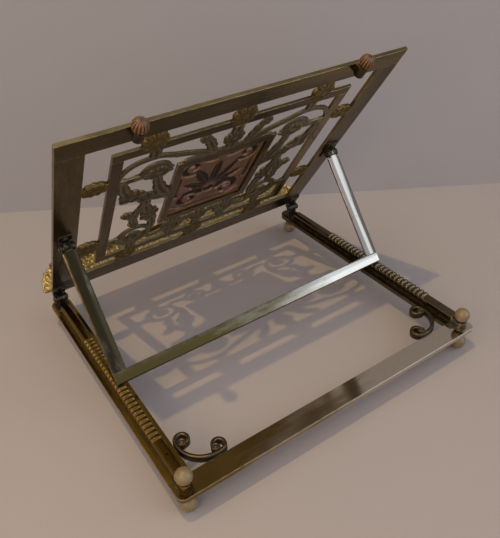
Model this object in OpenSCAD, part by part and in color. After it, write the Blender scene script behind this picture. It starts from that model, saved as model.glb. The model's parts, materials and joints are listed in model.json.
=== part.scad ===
// Folding brass book stand. A flat base carries two notched rack bars, a pierced panel is hinged
// at the front of the base and leans back over it, and a U-shaped prop hinged to the back of the
// panel stands on the notches. The reading side faces -Y, the rear crossbar lies towards +Y, and
// the four ball feet stand on Z = 0. The whole stand is centred on X = 0 and Y = 0.

/* [Base] */
// How far the middle line of a side rail lies inside the panel's edge
rail_inset = 5; // [4:0.5:8]
// Distance from the front feet to the rear feet
foot_spacing = 217; // [212:1:240]
// How far the front feet stand in front of the panel's hinge axis
front_reach = 5; // [4:0.5:7]
// Width of the flat side strips
strip_w = 16; // [14:0.5:20]
// Thickness of the side strips and of the rear crossbar
strip_t = 3.5; // [2.5:0.1:5]
// Width of the rear crossbar
crossbar_w = 15.5; // [13:0.5:18]
// Radius of the crossbar's outer rear corners
corner_r = 5; // [2:0.5:6]
// Width of the rack bars
rack_w = 8; // [7:0.5:10]
// Height of the rack bars, up to the bottom of the notches
rack_h = 7; // [5.5:0.1:8]
// Height of the rack bars' low rear ends, which carry the finials
seat_h = 4.5; // [3:0.1:5]

/* [Notches] */
// Distance from the hinge axis to the notch nearest the front
first_notch = 62.5; // [55:0.5:70]
// Distance from one notch to the next
notch_pitch = 4.4; // [3.8:0.1:4.8]
// Number of notches in each rack bar
notch_count = 26; // [20:1:28]
// Number of notches in front of the one in which the prop stands
rest_notch_count = 13; // [6:1:18]
// Height of the ridges between the notches
tooth_h = 1.2; // [0.6:0.1:2]
// Width of the flat on top of a ridge
tooth_flat = 0.8; // [0.4:0.1:1.4]
// Width of the flat at the bottom of a notch
notch_flat = 0.6; // [0.4:0.1:1]

/* [Feet and finials] */
// Diameter of the bone ball feet
foot_d = 12; // [10:0.5:16]
// Depth of the flat worn under a foot
foot_flat = 0.3; // [0.2:0.1:0.6]
// Depth of the flat on top of a foot, where its collar sits
foot_seat = 0.5; // [0.4:0.1:1]
// Height of the turned collar between a foot and the base
collar_h = 6; // [4:0.5:9]
// Diameter of the collar where it meets the base
collar_d = 9; // [7:0.5:11]
// Diameter of the collar's waist
collar_waist_d = 5.6; // [4.6:0.2:6.6]
// Diameter of the bone finial balls at the rear corners
finial_d = 11.4; // [9:0.2:14]
// Depth of the flat under a finial
finial_seat = 0.5; // [0.4:0.1:1]
// Thickness of the washer under a finial
washer_t = 0.8; // [0.5:0.1:1.5]
// Diameter of the studs that hold the feet and finials
stud_d = 3; // [2.4:0.1:3.6]
// Depth to which a stud enters a ball
stud_depth = 6.5; // [4:0.5:7]

/* [Corner scrolls] */
// Thickness of the strip that the corner scrolls are bent from
scroll_t = 1.8; // [1.2:0.1:2.4]
// Height of that strip
scroll_h = 4; // [3:0.5:8]
// Radius of the scroll's back, out to the rails that it touches
scroll_r = 19.5; // [16:0.5:24]
// Radius at which the ends begin to curl
curl_r = 5.2; // [4.6:0.2:6]
// Diameter of the solid eye in the middle of a curl
eye_d = 6.4; // [5:0.2:7]

/* [Panel] */
// Width of the panel
panel_w = 250; // [240:1:258]
// Height of the panel, measured along it
panel_h = 218; // [214:1:226]
// Thickness of the panel's frame
panel_t = 2.8; // [2.2:0.1:4]
// Width of the upright stiles
stile_w = 17.5; // [16:0.5:20]
// Width of the top rail
top_rail_w = 15; // [13:0.5:18]
// Width of the bottom rail
bottom_rail_w = 22; // [18:0.5:25]
// Distance from the hinge axis up to the panel's bottom edge
panel_lift = 1; // [0.5:0.5:2]
// Distance from the hinge axis to the panel's back face
hinge_offset = 4.6; // [4.6:0.1:6]

/* [Pierced field] */
// Gap between the inner frame and the rails above and below it
tab_gap = 12; // [9:0.5:14]
// Gap between the inner frame and the stiles
side_gap = 17.5; // [14:0.5:20]
// Width of the inner frame's bars
inner_bar_w = 8; // [6:0.5:10]
// Thickness of the inner frame and of the scrollwork
fret_t = 2.2; // [1.6:0.1:2.6]
// Width of a leaf tab between the frames
leaf_w = 17; // [13:0.5:20]
// Distance from the inner frame's corners to the outer leaf tabs, above and below
leaf_inset_x = 27; // [20:1:35]
// Distance from the inner frame's corners to the leaf tabs at the sides
leaf_inset_v = 35; // [27:1:43]
// Width of the scrollwork's bands
band_w = 4.4; // [3.4:0.2:5.2]
// Diameter of the scrollwork's buds
bud_d = 9; // [7:0.5:10]

/* [Plaque] */
// Width of the scrollwork at each side of the plaque
side_field = 42; // [39:1:45]
// Height of the ornament above and below the plaque
mid_field = 27; // [24:1:30]
// Width of the frame's border around the plaque
plaque_border = 6; // [5:0.5:8]
// Thickness of the copper sheet
sheet_t = 0.9; // [0.6:0.1:1.4]
// How far the sheet overlaps the frame's border
sheet_lap = 3; // [2.6:0.2:4]
// Diameter of the boss at the middle of the rosette
boss_d = 20; // [16:1:22]
// Height of the boss
boss_h = 3; // [2:0.2:4]
// Diameter of the rosette's petals
petal_d = 12; // [9:0.5:13]
// Height of the petals
petal_h = 2; // [1.4:0.2:2.6]
// Distance from the middle of the rosette to its petals
petal_ring = 18.5; // [18:0.5:22]
// Number of petals
petal_count = 8; // [6:1:8]
// Diameter of the rivets at the sheet's corners
plaque_rivet_d = 1.4; // [1:0.1:1.8]

/* [Ledge] */
// How far the ledge that the book stands on stops short of the panel's edges
ledge_inset = 7; // [4:0.5:20]
// Depth of the ledge
ledge_depth = 20; // [14:1:30]
// Thickness of the ledge
ledge_t = 2; // [1.8:0.1:3]
// Height of the scalloped lip
lip_h = 8; // [6:0.5:12]
// Thickness of the lip
lip_t = 2; // [1.2:0.1:3]
// Reach of the flat shells past the ledge's ends
shell_l = 13; // [10:0.5:16]
// Number of scallops along the lip
lobe_count = 20; // [12:1:24]
// Diameter of the pins that hold the ledge
ledge_pin_d = 1.2; // [0.8:0.1:1.4]
// Distance from the ledge's ends to its outer pins
ledge_pin_inset = 34; // [24:1:60]

/* [Knobs] */
// Distance from the panel's edges to the knobs
knob_inset = 45; // [30:1:65]
// Diameter of the fluted knobs
knob_d = 10; // [9:0.2:12]
// Number of flutes round a knob
flute_count = 14; // [8:1:16]
// Diameter of a flute
flute_d = 2; // [1.4:0.1:2]
// Depth of a flute at the knob's waist
flute_depth = 0.6; // [0.3:0.1:0.8]
// Diameter of the sockets that hold the knobs
socket_d = 7; // [6:0.2:8.4]
// Length of the sockets
socket_l = 8; // [7:0.5:14]
// How far a socket stands above the panel's top edge
socket_rise = 2; // [1:0.5:4]
// Width of the pad that joins a socket to the panel
pad_w = 5; // [4:0.2:6]

/* [Prop] */
// Length of the prop from its pivot to its foot, and of the panel from the hinge to that pivot
prop_len = 100; // [98:0.5:103]
// How far the prop's legs lie inside the panel's edges
prop_inset = 3; // [2:0.5:4]
// Width of the prop's legs
leg_w = 10; // [9.8:0.2:12]
// Width of the prop's crossbar
prop_bar_w = 7.5; // [6:0.5:10]
// Thickness of the prop
prop_t = 3; // [2:0.1:3.6]

/* [Hinges] */
// Diameter of the hinge pins
pin_d = 2.5; // [2:0.1:3]
// Diameter of a pin's heads
pin_head_d = 4; // [3.6:0.1:4.6]
// Height of a pin's heads
pin_head_h = 1; // [0.6:0.1:1.4]
// Diameter of the knuckles
knuckle_d = 6; // [5:0.1:6.2]
// Width of the middle knuckle
barrel_w = 5; // [4:0.1:5.2]
// Width of each ear beside it
ear_w = 2.2; // [1.8:0.1:2.4]
// Thickness of the posts and ears below the knuckles
web_t = 4.6; // [3.6:0.1:4.8]
// Thickness of the hinge plates
plate_t = 1.2; // [0.8:0.1:1.2]
// How far a plate of the panel's hinges reaches from the axis
plate_reach = 14; // [12:0.5:16]
// How far a plate of the prop's hinges reaches to each side of the axis
prop_plate_reach = 10; // [9.5:0.5:12]
// Thickness of the flange under a hinge post
flange_t = 1.5; // [1:0.1:2]
// Length of that flange
flange_l = 15; // [14:0.5:16]
// Diameter of the hinge screws
screw_d = 2; // [1.6:0.1:2.2]
// Diameter of a screw's head
screw_head_d = 3.2; // [2.8:0.1:3.4]
// Height of a screw's head
screw_head_h = 0.7; // [0.5:0.1:0.8]
// Diameter of the rivets that hold the rack bars
rivet_d = 3; // [2:0.1:3.6]

/* [Clearances] */
// Radial play of a pin in the knuckle that turns on it
run_fit = 0.05; // [0.02:0.01:0.09]
// Radial play of studs, screws and rivets in their holes
bore_fit = 0.02; // [0.01:0.01:0.05]
// Side play between a knuckle and its ears
side_fit = 0.3; // [0.2:0.05:0.5]
// Gap between a knuckle and the shoulders of its leg
shoulder_gap = 0.8; // [0.8:0.1:1.5]
// Height of the prop's foot above the ridges
foot_gap = 0.3; // [0.3:0.05:0.6]
// Depth to which a scroll is let into the rails that it is brazed to
braze_in = 0.3; // [0.2:0.05:0.5]

/* [Hidden] */
$fn = 64;
cut = 1;
left = -1;
right = 1;

// Heights of the base
foot_top = foot_d - foot_flat - foot_seat;
strip_z = foot_top + collar_h;
strip_top = strip_z + strip_t;
rack_top = strip_top + rack_h;
crest_z = rack_top + tooth_h;
axis_z = crest_z + foot_gap + prop_t / 2;
foot_bore_z = foot_top - stud_depth;
seat_top = strip_top + seat_h;
finial_z = seat_top + washer_t;
finial_bore_z = finial_z + stud_depth;

// Places along the base, measured back from the hinge axis
rail_x = panel_w / 2 - rail_inset;
front_y = -front_reach;
rear_y = foot_spacing - front_reach;
crossbar_y0 = rear_y - crossbar_w / 2;
crossbar_y1 = rear_y + crossbar_w / 2;
strip_x0 = rail_x - strip_w / 2;
strip_x1 = rail_x + strip_w / 2;
flange_y1 = flange_l / 2;
rack_y0 = flange_y1 + side_fit;
seat_gap = 0.6;
seat_y = rear_y - finial_d / 2 - seat_gap;
rivet_margin = 22;
rivet_ys = [rack_y0 + rivet_margin, rear_y - rivet_margin];
screw_margin = 0.5;
post_screw_x = 3.7;
post_screw_y = flange_y1 - screw_head_d / 2 - screw_margin;
flange_w = 2 * (post_screw_x + screw_head_d / 2 + screw_margin);

// The prop and the panel up to its pivot are two equal sides of a triangle on the rack
foot_y = first_notch + rest_notch_count * notch_pitch;
tilt = acos(foot_y / (2 * prop_len));

// Places on the panel, with Y up the panel from the hinge axis and Z towards the reader
panel_x = panel_w / 2;
panel_v0 = panel_lift;
panel_v1 = panel_lift + panel_h;
back_w = hinge_offset;
front_w = hinge_offset + panel_t;
opening_x = panel_x - stile_w;
opening_v0 = panel_v0 + bottom_rail_w;
opening_v1 = panel_v1 - top_rail_w;
inner_x = opening_x - side_gap;
inner_v0 = opening_v0 + tab_gap;
inner_v1 = opening_v1 - tab_gap;
field_x = inner_x - inner_bar_w;
field_v0 = inner_v0 + inner_bar_w;
field_v1 = inner_v1 - inner_bar_w;
field_mid = (field_v0 + field_v1) / 2;
field_half = (field_v1 - field_v0) / 2;
fret_w0 = back_w + (panel_t - fret_t) / 2;
fret_w1 = fret_w0 + fret_t;
leaf_x = inner_x - leaf_inset_x;
leaf_v = (inner_v1 - inner_v0) / 2 - leaf_inset_v;
plaque_x = field_x - side_field;
plaque_half = field_half - mid_field;
plaque_w = 2 * plaque_x;
plaque_h = 2 * plaque_half;
sheet_w = plaque_w - 2 * (plaque_border - sheet_lap);
sheet_h = plaque_h - 2 * (plaque_border - sheet_lap);
rivet_inset = sheet_lap / 2;
petal_margin = 0.5;
corner_petal_x = sheet_w / 2 - sheet_lap - petal_d / 2 - petal_margin;
corner_petal_v = sheet_h / 2 - sheet_lap - petal_d / 2 - petal_margin;
shelf_lift = 1;
shelf_v0 = panel_v0 + shelf_lift;
lip_w0 = front_w + ledge_depth;
ledge_l = 2 * (panel_x - ledge_inset);
ledge_pin_x = ledge_l / 2 - ledge_pin_inset;
ledge_pin_depth = 8;
socket_v1 = panel_v1 + socket_rise;
socket_v0 = socket_v1 - socket_l;
knob_x = panel_x - knob_inset;
knob_seat = 0.5;
knob_stud_depth = 6;

// The hinges and the prop
hinge_x = rail_x;
leg_x1 = panel_x - prop_inset;
leg_x0 = leg_x1 - leg_w;
leg_x = (leg_x0 + leg_x1) / 2;
leg_root = knuckle_d / 2 + shoulder_gap;
hinge_gap = barrel_w + 2 * side_fit;
leaf_hinge_w = hinge_gap + 2 * ear_w;
plate_w0 = back_w - plate_t;
plate_margin = 0.8;
plate_screw_v = plate_reach - screw_head_d / 2 - plate_margin;
plate_screw_x = 2.8;
prop_screw_v = prop_plate_reach - screw_head_d / 2 - plate_margin;

// The stand's reach to the front and the rear, and the hinge axis that centres it
reach_front = min(front_y - strip_w / 2, shelf_v0 * cos(tilt) - (lip_w0 + lip_t) * sin(tilt));
axis_y = -(reach_front + crossbar_y1) / 2;

bone = "#d9c9a3";
amber_bone = "#a5713a";
rail_brass = "#8a6d2f";
frame_brass = "#5d5038";
pale_brass = "#a9a37c";
gilt_brass = "#b08d3a";
dark_brass = "#33302a";
copper = "#8a5a48";

// Frames of the three bodies
module on_base() {
    translate([0, axis_y, 0]) children();
}
module on_panel() {
    translate([0, axis_y, axis_z]) rotate([tilt, 0, 0]) children();
}
module on_prop() {
    on_panel() translate([0, prop_len, 0]) rotate([-2 * tilt, 0, 0]) children();
}

// Flat shapes along a path
function arc_path(c, r0, r1, a0, a1, n) = [
    for (i = [0:n])
        let (t = i / n, a = a0 + (a1 - a0) * t, r = r0 + (r1 - r0) * t)
            c + r * [cos(a), sin(a)]
];
function curve_point(p, t) =
    pow(1 - t, 3) * p[0] + 3 * t * pow(1 - t, 2) * p[1] + 3 * t * t * (1 - t) * p[2] + pow(t, 3) * p[3];
function curve_path(p, n) = [for (i = [0:n]) curve_point(p, i / n)];
function turn_left(d) = [-d[1], d[0]] / norm(d);
function normal_at(path, i) =
    turn_left(path[min(i + 1, len(path) - 1)] - path[max(i - 1, 0)]);
function band_width(w, t) = w[0] * (1 - t) * (1 - 2 * t) + 4 * w[1] * t * (1 - t) + w[2] * t * (2 * t - 1);
function ribbon(path, w) =
    let (n = len(path) - 1)
        concat(
            [for (i = [0:n]) path[i] - normal_at(path, i) * band_width(w, i / n) / 2],
            [for (i = [n:-1:0]) path[i] + normal_at(path, i) * band_width(w, i / n) / 2]
        );

// A plate between two corners
module plate(lo, hi) {
    translate(lo) cube(hi - lo);
}
// A cylinder along X, centred on the axis
module along_x(d, h) {
    rotate([0, 90, 0]) cylinder(d = d, h = h, center = true);
}

// Base
module strip_outline() {
    translate([0, front_y]) circle(d = strip_w);
    translate([-strip_w / 2, front_y]) square([strip_w, crossbar_y0 - front_y]);
}
module side_strip(side) {
    color(rail_brass) on_base() translate([side * rail_x, 0, strip_z]) difference() {
        linear_extrude(strip_t) strip_outline();
        translate([0, front_y, -cut]) cylinder(d = stud_d + 2 * bore_fit, h = strip_t + 2 * cut);
        for (y = rivet_ys)
            translate([0, y, -cut]) cylinder(d = rivet_d + 2 * bore_fit, h = strip_t + 2 * cut);
        for (s = [left, right])
            translate([s * post_screw_x, post_screw_y, -cut])
                cylinder(d = screw_d + 2 * bore_fit, h = strip_t + 2 * cut);
    }
}
module left_rail_strip() side_strip(left);
module right_rail_strip() side_strip(right);

module crossbar_outline() {
    translate([-strip_x1, crossbar_y0]) square([2 * strip_x1, crossbar_w - corner_r]);
    translate([corner_r - strip_x1, crossbar_y0]) square([2 * (strip_x1 - corner_r), crossbar_w]);
    for (s = [left, right])
        translate([s * (strip_x1 - corner_r), crossbar_y1 - corner_r]) circle(r = corner_r);
}
module rear_crossbar() {
    color(rail_brass) on_base() translate([0, 0, strip_z]) difference() {
        linear_extrude(strip_t) crossbar_outline();
        for (s = [left, right])
            translate([s * rail_x, rear_y, -cut]) cylinder(d = stud_d + 2 * bore_fit, h = strip_t + 2 * cut);
    }
}

function ridge_y(i) = first_notch + i * notch_pitch - notch_pitch / 2;
function ridge(i) = [
    [ridge_y(i) - (notch_pitch - notch_flat) / 2, rack_h],
    [ridge_y(i) - tooth_flat / 2, rack_h + tooth_h],
    [ridge_y(i) + tooth_flat / 2, rack_h + tooth_h],
    [ridge_y(i) + (notch_pitch - notch_flat) / 2, rack_h]
];
rack_profile = concat(
    [[rack_y0, 0], [rack_y0, rack_h]],
    [for (i = [0:notch_count]) each ridge(i)],
    [[seat_y, rack_h], [seat_y, seat_h], [rear_y, seat_h], [rear_y, 0]]
);
module rack_bar(side) {
    color(rail_brass) on_base() translate([side * rail_x, 0, strip_top]) difference() {
        union() {
            rotate([90, 0, 90]) linear_extrude(rack_w, center = true) polygon(rack_profile);
            translate([0, rear_y, 0]) cylinder(d = rack_w, h = seat_h);
        }
        translate([0, rear_y, -cut]) cylinder(d = stud_d + 2 * bore_fit, h = seat_h + 2 * cut);
        for (y = rivet_ys)
            translate([0, y, -cut]) cylinder(d = rivet_d + 2 * bore_fit, h = rack_h + 2 * cut);
    }
}
module left_rack_bar() rack_bar(left);
module right_rack_bar() rack_bar(right);
module rack_rivets() {
    color(rail_brass) on_base()
        for (s = [left, right], y = rivet_ys)
            translate([s * rail_x, y, strip_z]) cylinder(d = rivet_d, h = strip_t + rack_h);
}

// A corner scroll is a strip on edge: a quarter-round back whose two ends curl in to a solid eye. Its
// outline is measured from the inner corner, across from the rail and forward from the crossbar.
scroll_mid_r = scroll_r - scroll_t / 2 + braze_in;
scroll_overrun = 14;
curl_turn = 300;
curl_blend = 12;
curl_steps = 24;
curl_end_r = eye_d / 2;
curl_lift = scroll_mid_r - curl_r;
scroll_c = [scroll_r, scroll_r];
function curl_centre(a) = scroll_c + curl_lift * [cos(a), sin(a)];
scroll_a0 = 180 - scroll_overrun;
scroll_a1 = 270 + scroll_overrun;
function curl_in(a, way) =
    arc_path(curl_centre(a), curl_r, curl_end_r, a + way * curl_blend, a + way * curl_turn, curl_steps);
function backwards(path) = [for (i = [len(path) - 1:-1:0]) path[i]];
scroll_path = concat(
    backwards(curl_in(scroll_a0, left)),
    arc_path(scroll_c, scroll_mid_r, scroll_mid_r, scroll_a0, scroll_a1, curl_steps),
    curl_in(scroll_a1, right)
);
module corner_scroll(side) {
    color(frame_brass) on_base() translate([side * strip_x0, crossbar_y0, strip_z])
        mirror([side > 0 ? 1 : 0, 0, 0]) mirror([0, 1, 0]) linear_extrude(scroll_h) intersection() {
            union() {
                polygon(ribbon(scroll_path, [scroll_t, scroll_t, scroll_t]));
                for (a = [scroll_a0, scroll_a1]) translate(curl_centre(a)) circle(d = eye_d);
            }
            square(3 * scroll_r);
        }
}
module left_corner_scroll() corner_scroll(left);
module right_corner_scroll() corner_scroll(right);

module ball_foot(side, y) {
    color(bone) on_base() translate([side * rail_x, y, 0]) difference() {
        intersection() {
            translate([0, 0, foot_d / 2 - foot_flat]) sphere(d = foot_d);
            cylinder(d = foot_d + cut, h = foot_top);
        }
        translate([0, 0, foot_bore_z]) cylinder(d = stud_d + 2 * bore_fit, h = stud_depth + cut);
    }
}
module front_left_foot() ball_foot(left, front_y);
module front_right_foot() ball_foot(right, front_y);
module rear_left_foot() ball_foot(left, rear_y);
module rear_right_foot() ball_foot(right, rear_y);

collar_step = 0.8;
collar_foot_d = collar_d - 2 * collar_step;
collar_rim = 1;
collar_profile = [
    [stud_d / 2 + bore_fit, 0], [collar_foot_d / 2, 0], [collar_foot_d / 2, collar_rim],
    [collar_waist_d / 2, collar_h / 2], [collar_d / 2, collar_h - collar_rim], [collar_d / 2, collar_h],
    [stud_d / 2 + bore_fit, collar_h]
];
module foot_collars() {
    color(rail_brass) on_base()
        for (s = [left, right], y = [front_y, rear_y])
            translate([s * rail_x, y, foot_top]) rotate_extrude() polygon(collar_profile);
}
module foot_studs() {
    color(dark_brass) on_base() for (s = [left, right]) {
        translate([s * rail_x, front_y, foot_bore_z]) cylinder(d = stud_d, h = strip_top - foot_bore_z);
        translate([s * rail_x, rear_y, foot_bore_z]) cylinder(d = stud_d, h = finial_bore_z - foot_bore_z);
    }
}

washer_inset = 1.8;
washer_d = finial_d - 2 * washer_inset;
module finial_washers() {
    color(rail_brass) on_base() for (s = [left, right])
        translate([s * rail_x, rear_y, seat_top]) difference() {
            cylinder(d = washer_d, h = washer_t);
            translate([0, 0, -cut]) cylinder(d = stud_d + 2 * bore_fit, h = washer_t + 2 * cut);
        }
}
module finial_ball(side) {
    color(bone) on_base() translate([side * rail_x, rear_y, finial_z]) difference() {
        intersection() {
            translate([0, 0, finial_d / 2 - finial_seat]) sphere(d = finial_d);
            cylinder(d = finial_d + cut, h = finial_d);
        }
        translate([0, 0, -cut]) cylinder(d = stud_d + 2 * bore_fit, h = stud_depth + cut);
    }
}
module left_finial_ball() finial_ball(left);
module right_finial_ball() finial_ball(right);

module hinge_post(side) {
    color(dark_brass) on_base() translate([side * hinge_x, 0, 0]) difference() {
        union() {
            plate([-flange_w / 2, -flange_l / 2, strip_top], [flange_w / 2, flange_y1, strip_top + flange_t]);
            plate([-barrel_w / 2, -web_t / 2, strip_top], [barrel_w / 2, web_t / 2, axis_z]);
            translate([0, 0, axis_z]) along_x(knuckle_d, barrel_w);
        }
        translate([0, 0, axis_z]) along_x(pin_d + 2 * run_fit, barrel_w + 2 * cut);
        for (s = [left, right])
            translate([s * post_screw_x, post_screw_y, strip_top - cut])
                cylinder(d = screw_d + 2 * bore_fit, h = flange_t + 2 * cut);
    }
}
module left_hinge_post() hinge_post(left);
module right_hinge_post() hinge_post(right);

// A slotted round-head screw along -Z, with the underside of its head at Z = 0
slot_w = 0.6;
module screw(shank) {
    difference() {
        union() {
            translate([0, 0, -shank]) cylinder(d = screw_d, h = shank);
            cylinder(d = screw_head_d, h = screw_head_h);
        }
        translate([-screw_head_d, -slot_w / 2, screw_head_h / 2])
            cube([2 * screw_head_d, slot_w, screw_head_h]);
    }
}
module hinge_post_screws() {
    color(dark_brass) on_base()
        for (s = [left, right], k = [left, right])
            translate([s * hinge_x + k * post_screw_x, post_screw_y, strip_top + flange_t])
                screw(flange_t + strip_t);
}

// Panel frame
module panel_top_rail() {
    color(frame_brass) on_panel() plate([-panel_x, opening_v1, back_w], [panel_x, panel_v1, front_w]);
}
module panel_bottom_rail() {
    color(frame_brass) on_panel() difference() {
        plate([-panel_x, panel_v0, back_w], [panel_x, opening_v0, front_w]);
        for (s = [left, right], k = [left, right])
            translate([s * hinge_x + k * plate_screw_x, plate_screw_v, back_w - cut])
                cylinder(d = screw_d + 2 * bore_fit, h = panel_t + 2 * cut);
        for (x = [-ledge_pin_x, 0, ledge_pin_x])
            translate([x, shelf_v0 + ledge_t / 2, back_w - cut])
                cylinder(d = ledge_pin_d + 2 * bore_fit, h = panel_t + 2 * cut);
    }
}
module panel_stile(side) {
    color(frame_brass) on_panel() mirror([side > 0 ? 0 : 1, 0, 0]) difference() {
        plate([opening_x, opening_v0, back_w], [panel_x, opening_v1, front_w]);
        for (k = [left, right])
            translate([leg_x, prop_len + k * prop_screw_v, back_w - cut])
                cylinder(d = screw_d + 2 * bore_fit, h = panel_t + 2 * cut);
    }
}
module panel_left_stile() panel_stile(left);
module panel_right_stile() panel_stile(right);

module inner_top_bar() {
    color(frame_brass) on_panel() plate([-inner_x, field_v1, fret_w0], [inner_x, inner_v1, fret_w1]);
}
module inner_bottom_bar() {
    color(frame_brass) on_panel() plate([-inner_x, inner_v0, fret_w0], [inner_x, field_v0, fret_w1]);
}
module inner_side_bar(side) {
    color(frame_brass) on_panel() mirror([side > 0 ? 0 : 1, 0, 0])
        plate([field_x, field_v0, fret_w0], [inner_x, field_v1, fret_w1]);
}
module inner_left_bar() inner_side_bar(left);
module inner_right_bar() inner_side_bar(right);

// A leaf tab is a round leaf that bridges a gap of the given length along Y, on a neck of the given
// width, with lobes along one edge where it has any
leaf_lobe_d = leaf_w * 0.36;
leaf_lobe_sink = leaf_lobe_d * 0.2;
short_neck_w = leaf_w * 0.8;
long_neck_w = leaf_w * 0.55;
lobe_angles = [-38, 0, 38];
module leaf_tab(gap, neck, lobes) {
    intersection() {
        union() {
            circle(d = leaf_w);
            square([neck, 2 * gap], center = true);
            for (a = lobes) rotate(a) translate([leaf_w / 2 - leaf_lobe_sink, 0]) circle(d = leaf_lobe_d);
        }
        square([2 * leaf_w, gap], center = true);
    }
}
module fret_plate() {
    on_panel() translate([0, 0, fret_w0]) linear_extrude(fret_t) children();
}
module top_leaf_tabs() {
    color(gilt_brass) for (x = [-leaf_x, 0, leaf_x])
        fret_plate() translate([x, inner_v1 + tab_gap / 2]) leaf_tab(tab_gap, short_neck_w, []);
}
module bottom_leaf_tabs() {
    color(gilt_brass) for (x = [-leaf_x, 0, leaf_x])
        fret_plate() translate([x, opening_v0 + tab_gap / 2]) leaf_tab(tab_gap, short_neck_w, []);
}
module side_leaf_tabs() {
    color(gilt_brass) for (s = [left, right], v = [-leaf_v, leaf_v])
        fret_plate() translate([s * (inner_x + side_gap / 2), field_mid + v]) rotate(90)
            leaf_tab(side_gap, long_neck_w, lobe_angles);
}

// Scrollwork. Places in a side field run from 0 at the plaque to 1 at the inner bar, and from -1
// at the bottom of the field to 1 at its top. Each path is a list of the points that steer it.
function side_at(a, b) = [plaque_x + a * side_field, b * field_half];
function side_curve(p, n) = curve_path([for (q = p) side_at(q[0], q[1])], n);
curl_c = side_at(0.38, 0.6);
curl_big_r = side_field * 0.27;
ring_c = side_at(0.54, -0.68);
ring_r = side_field * 0.3;
curl_angles = [-10, 440];
curl_in_r = curl_big_r * 0.34;
curl = arc_path(curl_c, curl_big_r, curl_in_r, curl_angles[0], curl_angles[1], 56);
ring_angle = 100;
ring_turn = 330;
arch_outer = side_curve([[1.05, 0.6], [1, 0.82], [0.78, 0.88], [0.46, 0.88]], 16);
arch_inner = side_curve([[0.48, 0.88], [0.26, 0.88], [0.16, 0.8], [-0.1, 0.78]], 14);
main_stem = side_curve([[0.93, 0.64], [0.96, 0.36], [0.7, 0.1], [-0.04, -0.03]], 22);
leaf_stem = side_curve([[0.32, 0.5], [0.28, 0.32], [0.16, 0.16], [-0.06, 0.02]], 14);
low_stem = side_curve([[0.4, 0.06], [0.46, -0.2], [0.08, -0.32], [0.2, -0.62]], 20);
bud_stem = side_curve([[0.76, -0.08], [0.64, -0.2], [0.56, -0.28], [0.53, -0.5]], 14);
rib_stem = side_curve([[0.4, 0.02], [0.54, -0.12], [0.62, -0.24], [0.56, -0.4]], 14);
base_link = side_curve([[0.28, -0.8], [0.2, -0.9], [0.08, -0.9], [-0.1, -0.86]], 12);
// A ring with a tendril that leaves it at one angle and winds in to a bud
module ring_scroll(c, r, angle, turn) {
    translate(c) difference() {
        circle(r = r + band_w / 2);
        circle(r = r - band_w / 2);
    }
    polygon(ribbon(arc_path(c, r, r * 0.3, angle, angle + turn, 40), [band_w, band_w * 0.8, band_w * 0.7]));
    translate(c) circle(r = r * 0.36);
}
module side_scroll_outline() {
    intersection() {
        union() {
            polygon(ribbon(arch_outer, [band_w, band_w, band_w]));
            polygon(ribbon(arch_inner, [band_w, band_w * 1.1, band_w * 1.2]));
            polygon(ribbon(curl, [band_w * 1.1, band_w * 1.1, band_w * 0.7]));
            translate(curl_c) circle(d = bud_d);
            polygon(ribbon(main_stem, [band_w * 1.2, band_w * 2.3, band_w * 1.8]));
            translate(side_at(0.82, 0.2)) circle(d = bud_d);
            translate(side_at(0.68, 0.1)) circle(d = bud_d * 0.8);
            polygon(ribbon(leaf_stem, [band_w, band_w * 2, band_w * 2]));
            polygon(ribbon(low_stem, [band_w * 1.6, band_w * 1.7, band_w * 1.1]));
            translate(side_at(0.78, -0.06)) circle(d = bud_d);
            polygon(ribbon(bud_stem, [band_w * 0.9, band_w * 1.2, band_w * 1.2]));
            polygon(ribbon(rib_stem, [band_w * 1.2, band_w * 1.6, band_w]));
            ring_scroll(ring_c, ring_r, ring_angle, -ring_turn);
            polygon(ribbon(base_link, [band_w, band_w, band_w]));
            translate(side_at(0.48, 0.95)) square([band_w * 2, field_half * 0.16], center = true);
            translate(side_at(0.82, 0.6)) square([side_field * 0.5, band_w * 1.2], center = true);
            translate(side_at(0.54, -0.96)) square([band_w * 2, field_half * 0.22], center = true);
            translate(side_at(0.94, -0.66)) square([side_field * 0.24, band_w * 1.4], center = true);
        }
        translate([plaque_x, -field_half]) square([side_field, 2 * field_half]);
    }
}
module side_scrollwork(side) {
    color(frame_brass) fret_plate()
        translate([0, field_mid]) mirror([side > 0 ? 0 : 1, 0]) side_scroll_outline();
}
module left_scrollwork() side_scrollwork(left);
module right_scrollwork() side_scrollwork(right);

// The crest above the plaque and the ornament below it fill the rest of the field. Their places run
// from 0 at the middle to 1 at the plaque's edge, and from 0 at the plaque to 1 at the inner bar.
function mid_at(a, b) = [a * plaque_x, plaque_half + b * mid_field];
function mid_curve(p, n) = curve_path([for (q = p) mid_at(q[0], q[1])], n);
crest_arm = mid_curve([[1.1, 0.48], [0.8, 0.38], [0.56, 0.24], [0.3, 0.02]], 18);
crest_leaf = mid_curve([[0.32, 0], [0.4, 0.36], [0.46, 0.6], [0.6, 0.84]], 14);
module crest_outline() {
    intersection() {
        union() {
            translate(mid_at(0, 0.5)) square([band_w * 2.2, 2 * mid_field], center = true);
            translate(mid_at(0, 0.45)) circle(d = bud_d * 1.7);
            translate(mid_at(0, 0)) square([plaque_w * 0.9, mid_field * 0.24], center = true);
            for (s = [0, 1]) mirror([s, 0]) {
                polygon(ribbon(crest_arm, [band_w * 1.1, band_w * 1.2, band_w * 1.2]));
                polygon(ribbon(crest_leaf, [band_w * 1.2, band_w * 1.7, band_w * 1.2]));
                translate(mid_at(0.6, 0.8)) circle(d = bud_d);
            }
        }
        translate([-plaque_x, plaque_half]) square([plaque_w, mid_field]);
    }
}
module crest_ornament() {
    color(frame_brass) fret_plate() translate([0, field_mid]) crest_outline();
}

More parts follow.
